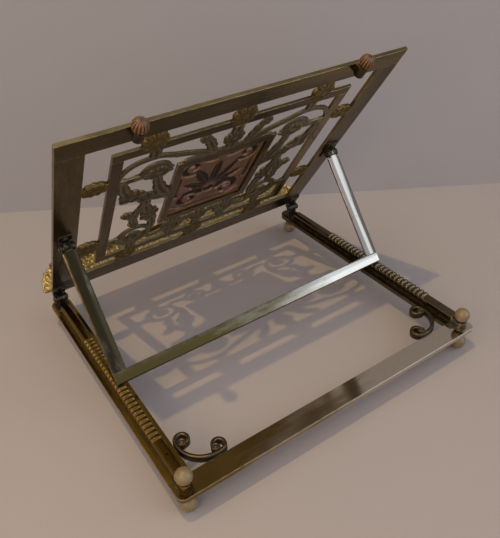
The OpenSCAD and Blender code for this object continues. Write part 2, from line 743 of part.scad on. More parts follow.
// The ornament below is drawn upside down, with a volute on each side of a leaf
volute_c = mid_at(0.62, 0.5);
volute_r = mid_field * 0.31;
base_arm = mid_curve([[1.1, 0.68], [1, 0.66], [0.92, 0.6], [0.8, 0.56]], 8);
base_leaf = mid_curve([[0.44, 0.36], [0.34, 0.2], [0.16, 0.3], [0, 0.4]], 12);
module base_outline() {
    intersection() {
        union() {
            translate(mid_at(0, 0.5)) square([band_w * 2.2, 2 * mid_field], center = true);
            translate(mid_at(0, 0.5)) circle(d = bud_d * 1.7);
            for (s = [0, 1]) mirror([s, 0]) {
                ring_scroll(volute_c, volute_r, ring_angle, ring_turn);
                polygon(ribbon(base_arm, [band_w, band_w, band_w]));
                polygon(ribbon(base_leaf, [band_w, band_w * 1.4, band_w]));
                translate(mid_at(0.62, 0)) square([band_w * 2, mid_field * 0.4], center = true);
                translate(mid_at(0.62, 1)) square([band_w * 2, mid_field * 0.4], center = true);
            }
        }
        translate([-plaque_x, plaque_half]) square([plaque_w, mid_field]);
    }
}
module base_ornament() {
    color(frame_brass) fret_plate() translate([0, field_mid]) mirror([0, 1]) base_outline();
}

// Plaque: a copper sheet with a raised rosette, riveted to the front of its frame
module at_sheet_corners() {
    for (s = [left, right], k = [left, right])
        translate([s * (sheet_w / 2 - rivet_inset), k * (sheet_h / 2 - rivet_inset), 0]) children();
}
module plaque_frame() {
    color(frame_brass) on_panel() translate([0, field_mid, fret_w0]) difference() {
        linear_extrude(fret_t) difference() {
            square([plaque_w, plaque_h], center = true);
            square([plaque_w - 2 * plaque_border, plaque_h - 2 * plaque_border], center = true);
        }
        at_sheet_corners() translate([0, 0, -cut])
            cylinder(d = plaque_rivet_d + 2 * bore_fit, h = fret_t + 2 * cut);
    }
}
// The top of a ball that stands h high on a circle of diameter d
module dome(d, h) {
    ball_r = (d * d / 4 + h * h) / (2 * h);
    translate([0, 0, h - ball_r]) sphere(r = ball_r);
}
module rosette() {
    dome(boss_d, boss_h);
    for (i = [0:petal_count - 1])
        rotate(i * 360 / petal_count + 180 / petal_count)
            translate([petal_ring, 0, 0]) dome(petal_d, petal_h);
    for (s = [left, right], k = [left, right])
        translate([s * corner_petal_x, k * corner_petal_v, 0]) dome(petal_d, petal_h);
}
module copper_plaque() {
    color(copper) on_panel() translate([0, field_mid, fret_w1]) difference() {
        union() {
            translate([-sheet_w / 2, -sheet_h / 2, 0]) cube([sheet_w, sheet_h, sheet_t]);
            intersection() {
                translate([0, 0, sheet_t]) rosette();
                translate([-sheet_w / 2, -sheet_h / 2, 0]) cube([sheet_w, sheet_h, sheet_t + 2 * boss_h]);
            }
        }
        rosette();
        at_sheet_corners() translate([0, 0, -cut])
            cylinder(d = plaque_rivet_d + 2 * bore_fit, h = sheet_t + 2 * cut);
    }
}
module plaque_rivets() {
    color(gilt_brass) on_panel() translate([0, field_mid, fret_w0])
        at_sheet_corners() cylinder(d = plaque_rivet_d, h = fret_t + sheet_t);
}

// Ledge
module ledge_shelf() {
    color(gilt_brass) on_panel() difference() {
        plate([-ledge_l / 2, shelf_v0, front_w], [ledge_l / 2, shelf_v0 + ledge_t, lip_w0]);
        for (x = [-ledge_pin_x, 0, ledge_pin_x])
            translate([x, shelf_v0 + ledge_t / 2, front_w - cut])
                cylinder(d = ledge_pin_d + 2 * bore_fit, h = ledge_pin_depth + cut);
    }
}
lobe_pitch = ledge_l / lobe_count;
lobe_r = lobe_pitch * 0.56;
lobe_foot = lobe_r * 0.6;
module lip_outline() {
    square([ledge_l, lip_h - lobe_foot]);
    for (i = [0:lobe_count - 1])
        intersection() {
            translate([i * lobe_pitch + lobe_pitch / 2, lip_h - lobe_r]) circle(r = lobe_r);
            square([ledge_l, lip_h]);
        }
}
module ledge_lip() {
    color(gilt_brass) on_panel() translate([-ledge_l / 2, shelf_v0, lip_w0])
        linear_extrude(lip_t) lip_outline();
}
// A flat shell carries each end of the ledge past the panel's edge: a quarter round with a scalloped rim
shell_rays = 4;
shell_lobe_d = ledge_depth * 0.4;
shell_x = shell_l - shell_lobe_d / 2;
shell_w = ledge_depth - shell_lobe_d / 2;
shell_step = 90 / shell_rays;
function shell_turn(i) = i * shell_step + shell_step / 2;
function shell_point(i) = [shell_x * cos(shell_turn(i)), shell_w * sin(shell_turn(i))];
shell_points = [for (i = [0:shell_rays - 1]) shell_point(i)];
module shell_outline() {
    intersection() {
        union() {
            polygon(concat([[0, 0], [shell_x, 0]], shell_points, [[0, shell_w]]));
            for (point = shell_points) translate(point) circle(d = shell_lobe_d);
        }
        square([shell_l, ledge_depth]);
    }
}
module ledge_shell(side) {
    color(gilt_brass) on_panel() mirror([side > 0 ? 0 : 1, 0, 0])
        translate([ledge_l / 2, shelf_v0, front_w]) rotate([90, 0, 0]) mirror([0, 0, 1])
            linear_extrude(ledge_t) shell_outline();
}
module left_ledge_shell() ledge_shell(left);
module right_ledge_shell() ledge_shell(right);
module ledge_pins() {
    color(gilt_brass) on_panel() for (x = [-ledge_pin_x, 0, ledge_pin_x])
        translate([x, shelf_v0 + ledge_t / 2, back_w])
            cylinder(d = ledge_pin_d, h = panel_t + ledge_pin_depth);
}

// Knobs, turned about the direction that runs up the panel
module at_knobs() {
    for (s = [left, right]) translate([s * knob_x, 0, 0]) children();
}
module knob(side) {
    color(amber_bone) on_panel() translate([side * knob_x, socket_v1, 0]) rotate([-90, 0, 0]) difference() {
        intersection() {
            translate([0, 0, knob_d / 2 - knob_seat]) sphere(d = knob_d);
            cylinder(d = knob_d + cut, h = knob_d);
        }
        for (i = [0:flute_count - 1])
            rotate(i * 360 / flute_count) translate([knob_d / 2 - flute_depth + flute_d / 2, 0, -cut])
                cylinder(d = flute_d, h = knob_d + 2 * cut);
        translate([0, 0, -cut]) cylinder(d = stud_d + 2 * bore_fit, h = knob_stud_depth + cut);
    }
}
module left_knob() knob(left);
module right_knob() knob(right);
module knob_sockets() {
    color(dark_brass) on_panel() at_knobs() difference() {
        union() {
            translate([0, socket_v0, 0]) rotate([-90, 0, 0]) cylinder(d = socket_d, h = socket_l);
            plate([-pad_w / 2, socket_v0, 0], [pad_w / 2, panel_v1, back_w]);
        }
        translate([0, socket_v1 - knob_stud_depth, 0]) rotate([-90, 0, 0])
            cylinder(d = stud_d + 2 * bore_fit, h = knob_stud_depth + cut);
    }
}
module knob_studs() {
    color(dark_brass) on_panel() at_knobs()
        translate([0, socket_v1 - knob_stud_depth, 0]) rotate([-90, 0, 0])
            cylinder(d = stud_d, h = 2 * knob_stud_depth);
}

// A hinge leaf lies on the panel's back and holds a pin along X at the origin in its two ears
module hinge_leaf(v0, v1, screws) {
    difference() {
        union() {
            plate([-leaf_hinge_w / 2, v0, plate_w0], [leaf_hinge_w / 2, v1, back_w]);
            for (s = [left, right]) translate([s * (hinge_gap + ear_w) / 2, 0, 0]) {
                along_x(knuckle_d, ear_w);
                plate([-ear_w / 2, -web_t / 2, 0], [ear_w / 2, web_t / 2, back_w]);
            }
        }
        along_x(pin_d + 2 * bore_fit, leaf_hinge_w + 2 * cut);
        for (p = screws)
            translate([p[0], p[1], plate_w0 - cut])
                cylinder(d = screw_d + 2 * bore_fit, h = plate_t + 2 * cut);
    }
}
module hinge_pin() {
    along_x(pin_d, leaf_hinge_w);
    for (s = [left, right])
        translate([s * (leaf_hinge_w + pin_head_h) / 2, 0, 0]) along_x(pin_head_d, pin_head_h);
}
panel_screws = [[-plate_screw_x, plate_screw_v], [plate_screw_x, plate_screw_v]];
prop_screws = [[0, -prop_screw_v], [0, prop_screw_v]];
module panel_hinge(side) {
    color(dark_brass) on_panel() translate([side * hinge_x, 0, 0])
        hinge_leaf(-web_t / 2, plate_reach, panel_screws);
}
module left_panel_hinge() panel_hinge(left);
module right_panel_hinge() panel_hinge(right);
module prop_hinge(side) {
    color(dark_brass) on_panel() translate([side * leg_x, prop_len, 0])
        hinge_leaf(-prop_plate_reach, prop_plate_reach, prop_screws);
}
module left_prop_hinge() prop_hinge(left);
module right_prop_hinge() prop_hinge(right);
module panel_hinge_screws() {
    color(dark_brass) on_panel() for (s = [left, right], p = panel_screws)
        translate([s * hinge_x + p[0], p[1], plate_w0]) rotate([180, 0, 0]) screw(plate_t + panel_t);
}
module prop_hinge_screws() {
    color(dark_brass) on_panel() for (s = [left, right], p = prop_screws)
        translate([s * leg_x + p[0], prop_len + p[1], plate_w0]) rotate([180, 0, 0]) screw(plate_t + panel_t);
}
module panel_hinge_pins() {
    color(dark_brass) on_panel() for (s = [left, right]) translate([s * hinge_x, 0, 0]) hinge_pin();
}
module prop_hinge_pins() {
    color(dark_brass) on_panel() for (s = [left, right]) translate([s * leg_x, prop_len, 0]) hinge_pin();
}

// Prop, with Y down its legs from the pivot and a round nose along its foot
module prop_leg(side) {
    color(pale_brass) on_prop() mirror([side > 0 ? 0 : 1, 0, 0]) difference() {
        union() {
            plate([leg_x0, leg_root, -prop_t / 2], [leg_x1, prop_len - prop_bar_w, prop_t / 2]);
            plate([leg_x - barrel_w / 2, 0, -prop_t / 2], [leg_x + barrel_w / 2, leg_root, prop_t / 2]);
            translate([leg_x, 0, 0]) along_x(knuckle_d, barrel_w);
        }
        translate([leg_x, 0, 0]) along_x(pin_d + 2 * run_fit, barrel_w + 2 * cut);
    }
}
module left_prop_leg() prop_leg(left);
module right_prop_leg() prop_leg(right);
nose_d = prop_t;
module prop_crossbar() {
    color(pale_brass) on_prop() {
        plate([-leg_x1, prop_len - prop_bar_w, -prop_t / 2], [leg_x1, prop_len, prop_t / 2]);
        translate([0, prop_len, 0]) along_x(nose_d, 2 * leg_x1);
    }
}

left_rail_strip();
right_rail_strip();
rear_crossbar();
left_rack_bar();
right_rack_bar();
rack_rivets();
left_corner_scroll();
right_corner_scroll();
front_left_foot();
front_right_foot();
rear_left_foot();
rear_right_foot();
foot_collars();
foot_studs();
finial_washers();
left_finial_ball();
right_finial_ball();
left_hinge_post();
right_hinge_post();
hinge_post_screws();
panel_top_rail();
panel_bottom_rail();
panel_left_stile();
panel_right_stile();
inner_top_bar();
inner_bottom_bar();
inner_left_bar();
inner_right_bar();
top_leaf_tabs();
bottom_leaf_tabs();
side_leaf_tabs();
left_scrollwork();
right_scrollwork();
crest_ornament();
base_ornament();
plaque_frame();
copper_plaque();
plaque_rivets();
ledge_shelf();
ledge_lip();
left_ledge_shell();
right_ledge_shell();
ledge_pins();
left_knob();
right_knob();
knob_sockets();
knob_studs();
left_panel_hinge();
right_panel_hinge();
panel_hinge_screws();
panel_hinge_pins();
left_prop_hinge();
right_prop_hinge();
prop_hinge_screws();
prop_hinge_pins();
left_prop_leg();
right_prop_leg();
prop_crossbar();
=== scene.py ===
# %% [markdown]
# # A folding brass book stand
# The real thing is a small desk stand of sheet and cast brass. A pierced panel leans over a flat
# base, and a U-shaped prop stands on notched bars. The CAD model already holds every plate, hinge
# and screw at its true size. This lesson loads it, gives each surface its finish, and models the
# cast, turned and embossed pieces that need finer shapes than the CAD solids have.

# %% Load the frame
import json
import math

import bmesh
import bpy
import numpy as np
from mathutils import Matrix, Vector


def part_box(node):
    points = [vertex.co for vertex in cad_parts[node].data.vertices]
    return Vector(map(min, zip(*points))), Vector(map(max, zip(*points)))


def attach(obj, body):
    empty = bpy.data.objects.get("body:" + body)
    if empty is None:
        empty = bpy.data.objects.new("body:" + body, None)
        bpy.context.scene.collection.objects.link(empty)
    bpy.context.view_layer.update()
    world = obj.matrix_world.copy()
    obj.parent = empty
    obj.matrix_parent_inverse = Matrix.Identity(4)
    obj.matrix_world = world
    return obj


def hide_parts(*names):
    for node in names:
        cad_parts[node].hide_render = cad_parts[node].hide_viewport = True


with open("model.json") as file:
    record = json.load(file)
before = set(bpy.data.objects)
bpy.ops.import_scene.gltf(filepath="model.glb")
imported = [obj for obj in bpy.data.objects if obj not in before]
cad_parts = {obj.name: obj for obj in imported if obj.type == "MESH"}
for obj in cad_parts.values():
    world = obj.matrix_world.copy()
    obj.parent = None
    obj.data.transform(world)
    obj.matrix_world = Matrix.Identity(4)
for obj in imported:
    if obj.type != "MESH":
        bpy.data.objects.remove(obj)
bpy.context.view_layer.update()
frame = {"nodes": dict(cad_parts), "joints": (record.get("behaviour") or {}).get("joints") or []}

mm = 0.001
nodes = frame["nodes"]
scene = bpy.context.scene

# %% [markdown]
# ## The panel's own directions
# The panel is tilted, so its ornament is easier to draw flat and to tilt afterwards. The two joints
# say where it turns and where the prop is hinged to it, and the line between them is the panel's
# slope. A matrix that turns flat drawings into place follows from that: X across, Y up the panel
# and Z towards the reader.

# %% Find the panel's slope
joints = {joint["name"]: Vector(joint["pos_m"]) for joint in frame["joints"]}
hinge_axis, prop_axis = joints["panel_tilt"], joints["prop_fold"]
slope = math.atan2(prop_axis.z - hinge_axis.z, prop_axis.y - hinge_axis.y)
panel_frame = Matrix.Translation(hinge_axis) @ Matrix.Rotation(slope, 4, "X")


def base_span(node):
    """Lowest and highest corner of a CAD node, in millimetres."""
    return [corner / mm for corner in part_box(node)]


def panel_points(node):
    """The points of a CAD node in the panel's own directions, in millimetres."""
    to_panel = panel_frame.inverted()
    return np.array([to_panel @ vertex.co for vertex in nodes[node].data.vertices]) / mm


def panel_span(node):
    """Lowest and highest corner of a CAD node in the panel's own directions."""
    points = panel_points(node)
    return Vector(points.min(axis=0)), Vector(points.max(axis=0))


print(f"the panel leans at {math.degrees(slope):.1f} degrees")

# %% [markdown]
# ## Camera
# The stand is seen from behind and above, over its rear right corner. The numbers were found by
# fitting the corners of the base and of the panel to the picture: where the camera stands, which
# way it looks, and how far it leans to one side. A camera looks along its own -Z, so its three axes
# are written straight into its matrix.

# %% Set the camera
camera_place = Vector((194.48, 321.29, 329.70)) * mm
heading, dip, lean = (math.radians(angle) for angle in (211.78, 35.43, 3.61))
focal_px, long_side_px = 599.05, 538
ahead = Vector((math.sin(heading) * math.cos(dip), math.cos(heading) * math.cos(dip), -math.sin(dip)))
level_right = Vector((math.cos(heading), -math.sin(heading), 0))
level_down = ahead.cross(level_right)
right = level_right * math.cos(lean) + level_down * math.sin(lean)
down = level_down * math.cos(lean) - level_right * math.sin(lean)

camera = bpy.data.objects.new("camera", bpy.data.cameras.new("camera"))
scene.collection.objects.link(camera)
camera.data.sensor_width = 36
camera.data.lens = camera.data.sensor_width * focal_px / long_side_px
camera.data.clip_start = 0.01
axes = Matrix((right, -down, -ahead)).transposed().to_4x4()
camera.matrix_world = Matrix.Translation(camera_place) @ axes
scene.camera = camera
print(f"lens {camera.data.lens:.1f} mm, {camera_place.length / mm:.0f} mm from the stand's middle")

# %% [markdown]
# ## Helpers for shader nodes
# Every finish below is a small graph of nodes. Typing links one by one hides what a finish does, so
# a few helpers keep it readable. One fills the inputs of a node, where an input that is itself an
# output gets linked. The others add a node and give back the output that is wanted.

# %% Write the node helpers
def fill(tree, node, inputs):
    """Fills or links a node's inputs by name or number."""
    for key, value in inputs.items():
        if isinstance(value, bpy.types.NodeSocket):
            tree.links.new(value, node.inputs[key])
        else:
            node.inputs[key].default_value = value


def add(tree, kind, inputs=None, **settings):
    """Adds a node, sets its properties and fills its inputs."""
    node = tree.nodes.new(kind)
    for key, value in settings.items():
        setattr(node, key, value)
    fill(tree, node, inputs or {})
    return node


def sums(tree, operation, a, b=0.0, c=0.0):
    """The result of a Math node."""
    return add(tree, "ShaderNodeMath", {0: a, 1: b, 2: c}, operation=operation).outputs[0]


def mixed(tree, factor, a, b):
    """Colour a where the factor is 0 and colour b where it is 1."""
    return add(tree, "ShaderNodeMix", {0: factor, 6: a, 7: b}, data_type="RGBA").outputs[2]


def ramp(tree, value, low, high, to_low=0.0, to_high=1.0):
    """A value stretched from one range to another, and kept inside it."""
    return add(tree, "ShaderNodeMapRange", {0: value, 1: low, 2: high, 3: to_low, 4: to_high}).outputs[0]


def noise(tree, vector, scale, detail=4.0, roughness=0.55):
    """A Noise Texture's value."""
    inputs = {"Vector": vector, "Scale": scale, "Detail": detail, "Roughness": roughness}
    return add(tree, "ShaderNodeTexNoise", inputs).outputs[0]


def stretched(tree, vector, factors):
    """A vector multiplied direction by direction."""
    return add(tree, "ShaderNodeVectorMath", {0: vector, 1: factors}, operation="MULTIPLY").outputs[0]


def coordinate(tree, kind="Object"):
    """An output of the Texture Coordinate node."""
    return add(tree, "ShaderNodeTexCoord").outputs[kind]


def axis_of(tree, vector, axis):
    """One number of a vector."""
    return add(tree, "ShaderNodeSeparateXYZ", {0: vector}).outputs[axis]


def attribute(tree, name):
    """A value that a mesh carries with its points."""
    return add(tree, "ShaderNodeAttribute", attribute_name=name).outputs["Fac"]


def bumped(tree, height, strength, distance, **more):
    """A normal that is bent by a height."""
    inputs = {"Height": height, "Strength": strength, "Distance": distance, **more}
    return add(tree, "ShaderNodeBump", inputs).outputs[0]


number, vector_kind = "NodeSocketFloat", "NodeSocketVector"


def new_group(name, inputs, outputs):
    """An empty node group that takes a Vector and more, and the sockets inside it."""
    tree = bpy.data.node_groups.new(name, "ShaderNodeTree")
    for socket, kind, value in [("Vector", vector_kind, (0, 0, 0))] + inputs:
        tree.interface.new_socket(name=socket, in_out="INPUT", socket_type=kind).default_value = value
    for socket in outputs:
        tree.interface.new_socket(name=socket, in_out="OUTPUT", socket_type=number)
    return tree, add(tree, "NodeGroupInput").outputs, add(tree, "NodeGroupOutput").inputs


def placed(tree, group, inputs):
    """The outputs of a node group, placed in a material with its own values."""
    return add(tree, "ShaderNodeGroup", inputs, node_tree=group).outputs


print("node helpers ready")

# %% [markdown]
# ## What a century does to brass
# Polished brass is rolled and rubbed along its length, goes brown in clouds where nobody polishes it,
# and is rubbed bright on its edges, and its corners get painted shade. Four node groups hold these four
# effects, so that every brass on the stand gets them in the same way but by its own amount.
# Grain is noise pulled out long in one direction. It gives a height for the Bump node and a streak
# for the roughness.

# %% Make the grain group
pulled = [("Pull", vector_kind, (40, 1500, 1500))]
grain, g_in, g_out = new_group("Rubbed grain", pulled, ["Height", "Streak"])
long_noise = noise(grain, stretched(grain, g_in["Vector"], g_in["Pull"]), 1.0, 3.0)
dents = noise(grain, g_in["Vector"], 160.0, 2.0)
scratch_lines = noise(grain, stretched(grain, g_in["Vector"], (900, 260, 420)), 1.0, 2.0)
scratches = ramp(grain, scratch_lines, 0.68, 0.74)
fine_height = sums(grain, "MULTIPLY_ADD", dents, 1.6, sums(grain, "MULTIPLY", long_noise, 0.5))
scored = sums(grain, "SUBTRACT", fine_height, sums(grain, "MULTIPLY", scratches, 0.25))
grain.links.new(scored, g_out["Height"])
grain.links.new(sums(grain, "MAXIMUM", long_noise, scratches), g_out["Streak"])
print("group:", grain.name)

# %% [markdown]
# Tarnish comes in clouds a few centimetres across, pulled out along a bar, with freckles in them. Two
# noises of different scale are added and cut off at a level: Cover moves that level, so 0 is clean
# metal and 1 is brown all over, and Soft is how wide the border of a cloud is.

# %% Make the tarnish group
clouded = [("Pull", vector_kind, (1, 1, 1)), ("Scale", number, 28.0), ("Cover", number, 0.5),
           ("Soft", number, 0.22)]
tarnish, t_in, t_out = new_group("Brown tarnish", clouded, ["Cloud", "Freckles"])
flow = stretched(tarnish, t_in["Vector"], t_in["Pull"])
clouds = noise(tarnish, flow, t_in["Scale"], 6.0, 0.62)
streaky = noise(tarnish, flow, sums(tarnish, "MULTIPLY", t_in["Scale"], 9.0), 3.0)
both = sums(tarnish, "MULTIPLY_ADD", streaky, 0.16, sums(tarnish, "MULTIPLY", clouds, 0.86))
level = sums(tarnish, "MULTIPLY_ADD", t_in["Cover"], -0.8, 0.9)
clean_below = sums(tarnish, "MULTIPLY", t_in["Soft"], -1.0)
above = sums(tarnish, "SUBTRACT", both, level)
tarnish.links.new(ramp(tarnish, above, clean_below, t_in["Soft"]), t_out["Cloud"])
cells = add(tarnish, "ShaderNodeTexVoronoi", {"Vector": t_in["Vector"], "Scale": 420.0}).outputs["Distance"]
crowd = ramp(tarnish, noise(tarnish, t_in["Vector"], 70.0, 3.0), 0.46, 0.62)
tarnish.links.new(sums(tarnish, "MULTIPLY", ramp(tarnish, cells, 0.3, 0.12), crowd), t_out["Freckles"])
print("group:", tarnish.name)

# %% [markdown]
# Edges are rubbed bright. The Bevel node bends the normal near an edge as if the edge were round, so
# the angle between that bent normal and the true one tells how near the edge is. Noise breaks the
# line up, because wear is never even.

# %% Make the edge wear group
wide_edge = [("Width", number, 0.7 * mm), ("Amount", number, 1.0)]
edge_wear, e_in, e_out = new_group("Rubbed edges", wide_edge, ["Mask"])
bent = add(edge_wear, "ShaderNodeBevel", {"Radius": e_in["Width"]}, samples=4).outputs[0]
true_normal = add(edge_wear, "ShaderNodeNewGeometry").outputs["True Normal"]
alike = add(edge_wear, "ShaderNodeVectorMath", {0: bent, 1: true_normal}, operation="DOT_PRODUCT")
near_edge = ramp(edge_wear, alike.outputs["Value"], 0.985, 0.8)
broken = ramp(edge_wear, noise(edge_wear, e_in["Vector"], 240.0, 3.0), 0.34, 0.6)
worn = sums(edge_wear, "MULTIPLY", sums(edge_wear, "MULTIPLY", near_edge, broken), e_in["Amount"])
edge_wear.links.new(worn, e_out["Mask"])
print("group:", edge_wear.name)

# %% [markdown]
# Closed-in corners get painted shade. Ambient occlusion measures how closed in a point is, and noise
# breaks the painted shade up into patches.

# %% Make the painted corner shade group
far_reach = [("Reach", number, 3 * mm), ("Amount", number, 1.0)]
corner_shade, d_in, d_out = new_group("Painted shade in corners", far_reach, ["Mask"])
open_sky = add(corner_shade, "ShaderNodeAmbientOcclusion", {"Distance": d_in["Reach"]}, samples=6).outputs["AO"]
closed_in = ramp(corner_shade, open_sky, 0.85, 0.35)
patchy = ramp(corner_shade, noise(corner_shade, d_in["Vector"], 130.0, 4.0), 0.25, 0.6, 0.4, 1.0)
painted_shade_mask = sums(corner_shade, "MULTIPLY", sums(corner_shade, "MULTIPLY", closed_in, patchy), d_in["Amount"])
corner_shade.links.new(painted_shade_mask, d_out["Mask"])
print("group:", corner_shade.name)

# %% [markdown]
# ## The brasses
# One function makes every brass on the stand. It starts from clean metal, browns it by the tarnish
# clouds, darkens the corners with painted shade, and brightens the edges. On the crossbar and the
# panel frame, the rubbed colour of the edges is also a painted highlight, and Rim paints a highlight
# on the panel's rim faces. The same masks drive the roughness, because tarnish is dull and rubbed
# metal is smooth. Pull is the direction of the grain, and Turn lays the grain square to the tilted
# panel. Fade lets the tarnish thin out from one side of the stand to the other. On the crossbar and
# the prop this is partly a painted reflection of the window, and Camber rounds the back of a strip a
# little. Cast pieces also carry a vertex attribute that says how deep a point lies in the relief,
# and dark patina stays in those hollows.

# %% Write the brass finish
# The near-black colour serves the freckles and the painted shade in corners.
soot_and_shade, most_cover, crown_bend, grain_depth = (0.012, 0.010, 0.008, 1), 0.78, -16.0, 0.12 * mm
along_x = ((40, 1500, 1500), (0.25, 1, 1))
along_y = ((1500, 40, 1500), (1, 0.25, 1))
all_ways = ((700, 700, 700), (1, 1, 1))


def new_material(name):
    """A material with its node tree and its Principled shader."""
    material = bpy.data.materials.new(name)
    material.use_nodes = True
    return material, material.node_tree, material.node_tree.nodes["Principled BSDF"]


def brass(name, metal, pull, turn=0.0, cloud=28.0, wear=1.0, edge=0.7, dents=0.2, streak=0.12, soft=0.22,
          specks=0.3, fade=0.0, rim=0.0, lumps=0.0, lump_size=1.6, camber=0.0, cast=False):
    """A brass finish: the colours of its metal, and how far it has aged."""
    material, tree, shader = new_material(name)
    clean, brown, rubbed, cover, shine = metal
    place, facing = coordinate(tree), coordinate(tree, "Normal")
    if turn:
        place, facing = (add(tree, "ShaderNodeVectorRotate", {"Vector": vector, "Angle": -turn},
                             rotation_type="X_AXIS").outputs[0] for vector in (place, facing))
    # Tarnish cover slides along X. On the crossbar and the prop this is partly a painted reflection of the
    # window on the lighter side.
    if fade:
        cover = sums(tree, "MULTIPLY_ADD", axis_of(tree, place, "X"), fade, cover)
        cover = sums(tree, "MINIMUM", cover, most_cover)
    clouds = {"Vector": place, "Pull": pull[1], "Scale": cloud, "Cover": cover, "Soft": soft}
    age = placed(tree, tarnish, clouds)
    edges = placed(tree, edge_wear, {"Vector": place, "Width": edge * mm, "Amount": wear})["Mask"]
    # Painted shade: ambient occlusion darkens closed-in corners, and cast hollows add dark patina below.
    corners = placed(tree, corner_shade, {"Vector": place, "Amount": 1.0})["Mask"]
    lines = placed(tree, grain, {"Vector": place, "Pull": pull[0]})
    relief = lines["Height"]
    # Painted highlight: the rims, faces square to the panel, get the rubbed colour where they catch the
    # light.
    if rim:
        outward = sums(tree, "ABSOLUTE", axis_of(tree, facing, "Z"))
        patches = ramp(tree, noise(tree, place, 90.0), 0.3, 0.6, 0.3 * rim, rim)
        painted_rim_highlight = sums(tree, "MULTIPLY", ramp(tree, outward, 0.6, 0.3), patches)
        edges = sums(tree, "MAXIMUM", edges, painted_rim_highlight)
    if cast:
        depth = attribute(tree, "hollow")
        corners = sums(tree, "MAXIMUM", corners, ramp(tree, depth, 0.25, 0.9, 0.0, 0.85))
        edges = sums(tree, "MAXIMUM", edges, ramp(tree, depth, 0.12, 0.0, 0.0, 0.5))
    if lumps:
        inputs = {"Vector": place, "Scale": 1 / (lump_size * mm)}
        hollow = add(tree, "ShaderNodeTexVoronoi", inputs, feature="SMOOTH_F1").outputs["Distance"]
        relief = sums(tree, "MULTIPLY_ADD", hollow, -4.0 * lumps, relief)
        corners = sums(tree, "MAXIMUM", corners, ramp(tree, hollow, 0.35, 0.75, 0.0, 0.8 * lumps))
        edges = sums(tree, "MAXIMUM", edges, ramp(tree, hollow, 0.2, 0.05, 0.0, 0.6 * lumps))
    colour = mixed(tree, age["Cloud"], (*clean, 1), (*brown, 1))
    colour = mixed(tree, sums(tree, "MULTIPLY", age["Freckles"], specks), colour, soot_and_shade)
    # Painted shade in closed-in corners, with the dark patina of cast hollows.
    colour = mixed(tree, corners, colour, soot_and_shade)
    dull = sums(tree, "MULTIPLY_ADD", lines["Streak"], streak, shine)
    for mask, amount in ((age["Cloud"], 0.12), (corners, 0.3), (edges, -0.1)):
        dull = sums(tree, "MULTIPLY_ADD", mask, amount, dull)
    under = {}
    if camber:
        from_middle = sums(tree, "SUBTRACT", sums(tree, "ABSOLUTE", axis_of(tree, place, "X")), camber)
        crown = sums(tree, "MULTIPLY", sums(tree, "MULTIPLY", from_middle, from_middle), crown_bend)
        under = {"Normal": bumped(tree, crown, 1.0, 1.0)}
    fill(tree, shader, {
        "Base Color": mixed(tree, edges, colour, (*rubbed, 1)),
        "Roughness": dull,
        "Metallic": ramp(tree, corners, 0.0, 1.0, 1.0, 0.55),
        "Normal": bumped(tree, relief, dents, grain_depth, **under),
    })
    return material


print("brass finish ready")

# %% [markdown]
# The base is golden brown. One side rail and its rack carry painted shade, which makes them darker
# than the other. The rear crossbar goes from brown to silvery, partly as a painted reflection of the
# window. The panel is dark olive with gold where it is touched, and has a painted highlight on its
# rims. The prop's tarnish thins out towards one end, partly as a painted reflection of the window,
# and its legs are a little round across. The leaves are brown gold, the ledge is the brightest gold,
# and hinges and sockets are nearly black. The darkness of the sockets and the finial washers is
# partly painted shade. One table holds the metals, and a second says which metal, grain and age
# each piece of the CAD has.

# %% List the metals
gold, worn_pale = (0.86, 0.66, 0.30), (0.68, 0.6, 0.44)
metals = {  # clean, browned and rubbed colour, cover of the tarnish, roughness
    "rail": ((0.50, 0.33, 0.066), (0.20, 0.122, 0.016), gold, 0.52, 0.1),
    # The crossbar's near-white rubbed colour is also a painted reflection of the window along its edge.
    "crossbar": ((0.62, 0.56, 0.46), (0.23, 0.16, 0.05), (0.95, 0.86, 0.64), 0.46, 0.06),
    "rack": ((0.34, 0.205, 0.045), (0.12, 0.068, 0.013), gold, 0.5, 0.13),
    # Painted shade: the rail and rack brass darkened for the side rail and rack that lie in shade.
    "shaded": ((0.19, 0.148, 0.078), (0.066, 0.05, 0.028), (0.5, 0.4, 0.22), 0.5, 0.14),
    # The frame's rubbed colour is also a painted highlight along its edges and rims.
    "frame": ((0.22, 0.16, 0.068), (0.054, 0.039, 0.019), (0.78, 0.58, 0.24), 0.5, 0.16),
    "cast": ((0.16, 0.125, 0.06), (0.05, 0.04, 0.022), (0.44, 0.355, 0.18), 0.5, 0.2),
    "pale leg": ((0.40, 0.37, 0.31), (0.037, 0.029, 0.014), worn_pale, 0.46, 0.05),
    "pale bar": ((0.50, 0.465, 0.385), (0.095, 0.072, 0.024), worn_pale, 0.88, 0.05),
    "gilt": ((0.19, 0.13, 0.036), (0.075, 0.052, 0.02), (0.38, 0.275, 0.10), 0.5, 0.26),
    "ledge": ((0.46, 0.335, 0.115), (0.17, 0.115, 0.035), gold, 0.5, 0.2),
    # On the knob sockets and finial washers this dark brass is partly painted shade under the knobs and
    # finials.
    "strip": ((0.12, 0.09, 0.048), (0.055, 0.04, 0.022), (0.36, 0.27, 0.13), 0.5, 0.3),
    "black": ((0.075, 0.066, 0.05), (0.035, 0.03, 0.024), (0.34, 0.28, 0.17), 0.5, 0.3),
}
print("metals:", ", ".join(metals))

